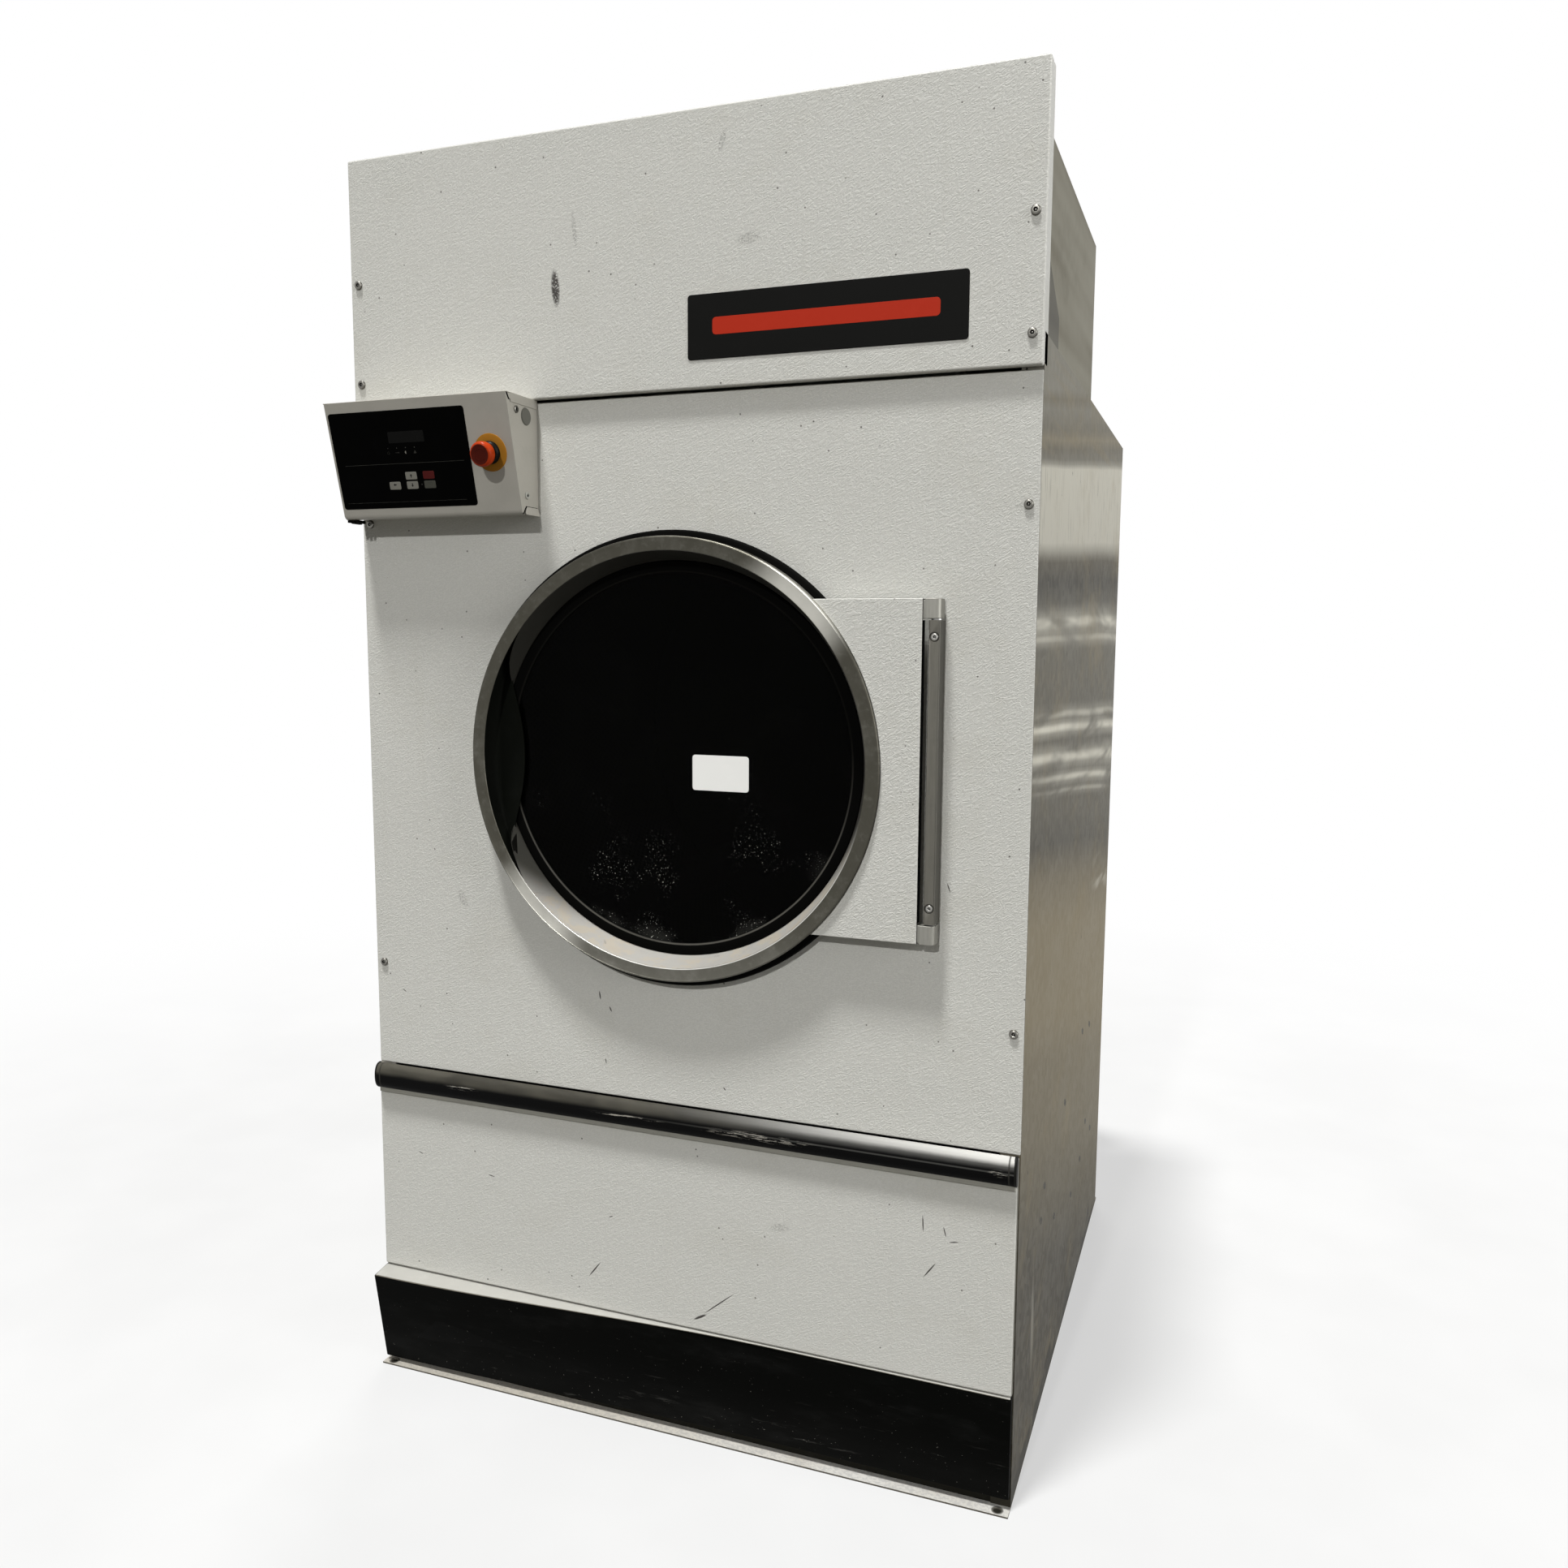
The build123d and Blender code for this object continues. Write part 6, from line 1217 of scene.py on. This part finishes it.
control_face().piece(
    "control_face_film", [overlay_film, window_film, key_grey, key_red, key_dim, print_light, print_dark],
    "cabinet", "overlay_film", "control_overlay")

label_low, label_high = reach("glass_label")
tile(Form(), box_corners(*((label_low + label_high) / 2)[[0, 2]], *(label_high - label_low)[[0, 2]]), 5 * MM,
     0, label_high[1] - label_low[1], 0, Bench((0, label_low[1], 0)), 0.04 * MM, 5).piece(
    "glass_label_paper", [label_paper], "door", slot_of["glass_label"], "glass_label")

stop_bench = face_bench.moved(-277.5 * MM, -91 * MM)
disc_profile = in_mm((14.6, 0), (14.6, -1.3), (28.6, -1.5), (29.7, -1.1), (30, -0.4), (30, 0))
Form().turned(disc_profile, stop_bench, 96).piece(
    "stop_disc", [yellow_plastic], "cabinet", "yellow_plastic", "estop_disc")
dressed("estop_base", black_plastic, 0.4 * MM, 3)
skirt_profile = in_mm((14.9, -1.5), (18.3, -1.5), (18.3, -5.5), (17.4, -7.5), (15.6, -9.2), (14.9, -9.2))
Form().turned(skirt_profile, stop_bench, 96).piece(
    "stop_skirt", [black_plastic], body_of["estop_base"], slot_of["estop_base"])


def stop_button():
    """The stop's mushroom head: a waist, a rounded rim, a dished face and two turning arrows in relief."""
    axis_foot = (0, -15.4 * MM)
    rim = in_mm((7.9, -15.4), (16.4, -15.3), (18.2, -16.0), (18.9, -17.6), (19.2, -20), (19.9, -22.5),
                (20.0, -25), (19.8, -27.6), (19.0, -29.9), (17.6, -31.5), (15.8, -32.25), (14.2, -32.2),
                (12.6, -31.7), (8, -31.35), (0, -31.2))
    form = Form().turned([axis_foot] + rim[:11], stop_bench, 96, closed=False)
    # painted shade: the face and arrows take the darker red
    form.turned(rim[10:], stop_bench, 96, closed=False, finish=1)
    for start in (20, 200):
        angle = np.radians(np.linspace(start, start + 105, 15))
        ring = np.stack((np.cos(angle), np.sin(angle)), 1)
        head = np.radians(start + 128)
        tip = 9.4 * MM * np.array((math.cos(head), math.sin(head)))
        barbs = 12.2 * MM * ring[-1], tip, 6.8 * MM * ring[-1]
        corners = [*(10.6 * MM * ring), *barbs, *(8.4 * MM * ring[::-1])]
        form.carried(Outline(corners, 0, 1), stop_bench.moved(out=-31.95 * MM),
                     slab_rows(0.9 * MM, 0.1 * MM), 1)
    return form


stop_button().piece("stop_button", [red_plastic, red_face_shaded], "stop_head", "red_plastic", "estop_head", sharp=40)
kept(black_plastic, "estop_plunger")


def box_plugs():
    """Hole plugs and a screw on the box's right side, turned shapes whose axis points to the right."""
    side = Bench((box_high[0], FRONT, 0), BACK, UP, -RIGHT)
    form = Form()
    cap = in_mm((0, -2.4), (9, -2.4), (12.6, -1.9), (13.6, -1.0), (14, -0.2), (13.8, 0.2), (0, 0.2))
    ring = in_mm((0, -0.9), (2.6, -0.9), (3.0, -2.2), (4.6, -2.4), (5.8, -1.6), (6, 0.2), (0, 0.2))
    pit = in_mm((0, -1.0), (2.4, -1.0), (2.4, -0.5), (0, -0.5))
    form.turned(cap, side.moved(-34.5 * MM, 1711 * MM), 48, 0, closed=False)
    for place, finish in ((side.moved(-34.5 * MM, 1586 * MM), 1), (side.moved(-63 * MM, 1718 * MM), 2)):
        form.turned(ring, place, 32, finish, closed=False)
        form.turned(pit, place, 24, 3, closed=False)
    return form


box_plugs().piece("box_plugs", [plug_grey, plug_pale, screw_steel, socket_shade], "cabinet", "black_plastic",
                  "control_box_plugs")


def box_seams():
    """Folded sheet at the box's right side: the lid's side flange, a flared bottom tab and their gaps, thin
    dark plates of painted shade.

    The tab leans out: each of its points moves right by flare times its depth below the tab's top.
    """
    foot, top = box_low[2], box_high[2]
    side = Bench((box_high[0], FRONT, 0), BACK, UP, RIGHT)
    lower, upper = side.moved(up=foot), side.moved(up=top)
    form = Form()
    paint, shaded = 0, 1
    lid = in_mm((-91, -0.4), (-84, -9), (-1, -8), (-1, -0.4))
    tile(form, lid, 0, 0, 1.2 * MM, paint, upper, 0.3 * MM, 1)
    slope_gap = in_mm((-92, 0.2), (-84.6, -10.4), (-83, -9.4), (-90, 0.2))
    tile(form, slope_gap, 0, -0.1 * MM, 1.4 * MM, shaded, upper, 0.1 * MM, 1)
    under_lid = in_mm((-84, -9.9), (-1, -8.9), (-1, -8), (-84, -9))
    tile(form, under_lid, 0, -0.1 * MM, 0.4 * MM, shaded, upper, 0.05 * MM, 1)
    tab_height, flare = 13 * MM, 0.22
    start = len(form.points)
    tab = in_mm((-46, 0.2), (-1, 0.2), (-3, 13), (-36, 13))
    tile(form, tab, 2 * MM, 0, 1.2 * MM, paint, lower, 0.3 * MM, 3)
    for points in form.points[start:]:
        points[:, 0] += np.clip(foot + tab_height - points[:, 2], 0, None) * flare
    slit = in_mm((-48, 0.4), (-46, 0.4), (-35, 14), (-38, 14))
    tile(form, slit, 0, -0.1 * MM, 0.6 * MM, shaded, lower, 0.05 * MM, 1)
    brow = in_mm((-37, 13.2), (-3, 13.2), (-3, 14), (-37, 14))
    tile(form, brow, 0, -0.1 * MM, 0.4 * MM, shaded, lower, 0.05 * MM, 1)
    under = Bench((0, FRONT - 44 * MM, foot), RIGHT, -UP, BACK)
    for x, wide, deep in ((-582, 6, 4), (-574, 6, 6), (-566, 5, 5)):
        corners = box_corners(x * MM, deep * MM / 2, wide * MM, deep * MM)
        tile(form, corners, 0, 0, 20 * MM, shaded, under, 0.5 * MM, 1)
    return form


box_seams().piece("box_seams", [box_paint, seal_rubber_and_shade], "cabinet", "grey_paint")


def plate_on_panel():
    """The nameplate: a black plate with rounded corners and a plain red stripe."""
    low, high = reach("nameplate")
    bench = Bench((0, low[1], 0))
    middle = (low + high) / 2
    form = Form()
    tile(form, box_corners(middle[0], middle[2], high[0] - low[0], high[2] - low[2]), 5 * MM, 0.05 * MM,
         high[1] - low[1] - 0.05 * MM, 0, bench, 0.3 * MM, 6)
    tile(form, box_corners(middle[0], middle[2], 356 * MM, 26 * MM), 6 * MM, 0, 0.2 * MM, 1, bench,
         0.03 * MM, 6)
    return form


plate_on_panel().piece("name_plate", [plate_black, stripe_red], "cabinet", "plate_black", "nameplate")


# Screws

def button_screw(form, bench, head, high, socket, shank):
    """A button head screw: domed head, hexagonal socket with a pin in its middle, plain shank.

    The socket's radius at angle a is its half width over cos(a - 30 deg) within each sixth of a turn.
    At share t from rim to top, the dome's radius is head cos(1.15 t)^0.5 and its height high sin(90 t deg).
    """
    steps = 36
    angle = np.linspace(0, TURN, steps, endpoint=False)
    hexagon = socket / np.cos(np.mod(angle, TURN / 6) - TURN / 12)
    dome = np.linspace(0, 1, 7)
    cap = [(head * math.cos(t * 1.15) ** 0.5, -high * math.sin(t * math.pi / 2)) for t in dome]
    top = -high
    profile = [(0, shank), (0.5 * head, shank), (0.5 * head, 0), (head, 0)] + cap[1:]
    profile += [(hexagon + 0.25 * MM, top), (hexagon, top + 0.25 * MM)]
    form.turned(profile, bench, steps, 0, closed=False)
    floor = top + 0.62 * high
    pit = [(hexagon, top + 0.25 * MM), (hexagon, floor), (0.4 * socket, floor)]
    form.turned(pit, bench, steps, 1, closed=False)
    pin = [(0.4 * socket, floor), (0.36 * socket, top + 0.3 * high), (0, top + 0.26 * high)]
    form.turned(pin, bench, steps, 0, closed=False)
    return form


def panel_screws():
    """The eight screws of the two front panels, four along each side."""
    form = Form()
    raised = reach("upper_front_panel")[0][1]
    for side in (-572 * MM, 572 * MM):
        for z, seat in ((769.5, FRONT), (1551.5, FRONT), (1786, raised), (1950, raised)):
            button_screw(form, Bench((side, seat, z * MM)), 7.2 * MM, 4 * MM, 2.8 * MM, 12 * MM)
    return form


def bar_screws():
    """The hinge bar's two screws, as far above the door's middle as below it."""
    form = Form()
    low, high = reach("hinge_screws")
    head_height = 3.2 * MM
    for z in (door_center[2] - 202.5 * MM, door_center[2] + 202.5 * MM):
        bench = Bench(((low[0] + high[0]) / 2, low[1] + head_height, z))
        button_screw(form, bench, 6 * MM, head_height, 2.0 * MM, high[1] - low[1] - head_height)
    return form


panel_screws().piece("panel_screws", [screw_steel, socket_shade], "cabinet", slot_of["front_screws"],
                     "front_screws")
bar_screws().piece("hinge_bar_screws", [dull_steel, socket_shade], body_of["hinge_screws"],
                   slot_of["hinge_screws"], "hinge_screws")


# Bumper, base and sides

def bumper_section(foot, top, front, back):
    """Points (y, z) of a section whose front is half a rounded oval.

    With t from -90 to 90 degrees, height = sign(sin t) |sin t|^0.85 and depth = |cos t|^0.85.
    """
    half = (top - foot) / 2
    turn = np.radians(np.linspace(-90, 90, 25))
    rise = np.sign(np.sin(turn)) * np.abs(np.sin(turn)) ** 0.85
    bulge = np.abs(np.cos(turn)) ** 0.85
    return np.column_stack((back - (back - front) * bulge, foot + half + half * rise))


def bumper_ends():
    """The bumper's two end caps: its section a little larger, drawn a short way, with a rounded end face."""
    low, high = reach("bumper_caps")
    form = Form()
    rim = 1.2 * MM
    for side in (-1, 1):
        outer = bumper_section(BUMPER_FOOT - 1 * MM, BUMPER_TOP + 1 * MM, low[1], high[1])
        inner = bumper_section(BUMPER_FOOT, BUMPER_TOP, low[1] + rim, high[1] - 0.2 * MM)
        stations = (bumper_high[0] - 0.5 * MM, high[0] - rim, high[0] - 0.3 * rim, high[0])
        loops = [np.column_stack((np.full(len(outer), side * x), outer + (inner - outer) * share))
                 for x, share in zip(stations, (0, 0, 0.4, 1))]
        form.grid(np.stack(loops), close_columns=True)
        form.face(loops[0])
        form.face(loops[-1])
    return form


cover_section = bumper_section(BUMPER_FOOT, BUMPER_TOP, bumper_low[1], bumper_high[1])
Form().drawn(cover_section, np.linspace(bumper_low[0], bumper_high[0], 13)).piece(
    "bumper_skin", [bumper_vinyl], body_of["bumper_cover"], slot_of["bumper_cover"], "bumper_cover")
bumper_ends().piece("bumper_ends", [black_plastic], body_of["bumper_caps"], slot_of["bumper_caps"],
                    "bumper_caps")
strip_low, strip_high = reach("bumper_retainer")
STRIP_FOOT, STRIP_TOP = BUMPER_FOOT - 7.5 * MM, BUMPER_TOP - 3 * MM
Form().carried(rectangle(strip_low[0], strip_high[0], STRIP_FOOT, STRIP_TOP), Bench((0, strip_low[1], 0)),
               slab_rows(strip_high[1] - strip_low[1], 0.8 * MM)).piece(
    "bumper_strip", [retainer_metal_shaded], body_of["bumper_retainer"], slot_of["bumper_retainer"], "bumper_retainer")


def anchor_hole_shade():
    """Thin dark discs in the base's four anchor holes, painted shade inside them."""
    form = Form()
    disc = in_mm((0, 0.5), (6.4, 0.5), (6.4, 0.1), (0, 0.1))
    for side in (-1, 1):
        for end in (-1, 1):
            place = Bench((side * ANCHOR_X, end * ANCHOR_Y, 0), RIGHT, BACK, UP)
            form.turned(disc, place, 32, closed=False)
    return form


# painted shade with grime: the base flange's outer edges are darker
base = repainted(dressed("base_frame", base_zinc, 0.5 * MM), edge_grime_and_shade,
                 lambda middle, normal: (middle[:, 2] < 3 * MM) & (normal[:, 2] < 0.5))
# painted shade with grime: the riser under the kickplate is near black
repainted(base, riser_shade_and_grime,
          lambda middle, normal: (middle[:, 2] > 4 * MM) & (normal[:, 1] < -0.5) & (middle[:, 1] < -0.5))
anchor_hole_shade().piece("anchor_hole_shade_discs", [riser_shade_and_grime], "cabinet", slot_of["base_frame"])
dressed("left_side_panel", left_zinc, 1.2 * MM, 3)
dressed("right_side_panel", side_zinc, 1.2 * MM, 3)
dressed("heater_housing", upper_zinc, 0.8 * MM)
dressed("upper_panel_brackets", bracket_zinc, 0.4 * MM)
dressed("cabinet_cover", roof_zinc, 0.4 * MM)
dressed("rear_wall", inner_zinc, 0.4 * MM)
kept(plain_steel, "hinge_pins", "drum_spider", "shaft_bearings", "jackshaft", "jackshaft_bracket",
     "motor_pulley", "gas_manifold", "gas_valve")
kept(inner_zinc, "drawer_tray", "lint_screen", "drawer_runners", "drum_ribs", "motor_bracket",
     "blower_housing", "blower_impeller", "junction_box", "burners")
kept(perforated_zinc, "drum_shell")
kept(cast_paint, "bearing_housing", "drum_pulley", "idler_pulley")
kept(motor_enamel, "drum_motor", "fan_motor")
kept(belt_rubber, "drive_belts")
kept(seal_felt, "drum_front_seal")
kept(board_green, "control_board")


# Floor, lamps and the white surroundings

def floor():
    """A pale floor that turns white far away, and dim for the light that it throws back on the part."""
    f = Finish("floor")
    shown = f.shown()
    lift = shown * f.distance((6.0, 6.0, 6.0), (0, 0, 0)).rise(0.2, 0.7, 0.55, 1.0)
    white = f.node("ShaderNodeEmission", None, {"Color": (1.0, 1.0, 1.0)})
    blend = f.node("ShaderNodeMixShader", None, {0: lift, 1: f.shader.outputs[0], 2: white.outputs[0]})
    f.tree.links.new(blend.outputs[0], f.output.inputs["Surface"])
    mottled = f.mix(f.noise(0.5, 3.0, 0.6).rise(0.3, 0.7), (0.40, 0.40, 0.395), (0.44, 0.44, 0.435))
    color = f.mix(shown, (0.055, 0.052, 0.044), mottled)
    material = f.surface(Base_Color=color, Roughness=0.7, Specular_IOR_Level=0.1)
    half = 30.0
    corners = [(-half, -half, -WELD), (half, -half, -WELD), (half, half, -WELD), (-half, half, -WELD)]
    mesh = bpy.data.meshes.new("floor")
    mesh.from_pydata(corners, [], [(0, 1, 2, 3)])
    mesh.materials.append(material)
    thing = bpy.data.objects.new("floor", mesh)
    bpy.context.scene.collection.objects.link(thing)


def sky():
    """A dim, warm world that the camera, glossy surfaces and glass see as plain white."""
    world = bpy.data.worlds.new("studio")
    bpy.context.scene.world = world
    world.use_nodes = True
    net = Network(world.node_tree)
    dim = net.node("ShaderNodeBackground", None, {"Color": (1.0, 0.96, 0.86), "Strength": 0.055})
    white = net.node("ShaderNodeBackground", None, {"Color": (1.0, 1.0, 1.0)})
    blend = net.node("ShaderNodeMixShader", None, {0: net.shown(), 1: dim.outputs[0], 2: white.outputs[0]})
    net.node("ShaderNodeOutputWorld", None, {"Surface": blend.outputs[0]})


def lamp(name, toward, angle, strength):
    """A far, soft, round lamp: the direction to it, how wide it looks in degrees, and its strength."""
    data = bpy.data.lights.new(name, "SUN")
    data.angle = math.radians(angle)
    data.energy = strength
    thing = bpy.data.objects.new(name, data)
    bpy.context.scene.collection.objects.link(thing)
    thing.matrix_world = Vector(toward).to_track_quat("Z", "Y").to_matrix().to_4x4()


floor()
sky()
lamp("ceiling_lamp", (-0.5, -1.0, 4.5), 7, 4.6)
lamp("key_lamp", (-0.06, -1.0, 0.6), 2, 1.35)
lamp("side_lamp", (1.0, -0.1, 0.25), 40, 2.26)
lamp("back_lamp", (-0.3, 1.0, 0.4), 30, 1.8)
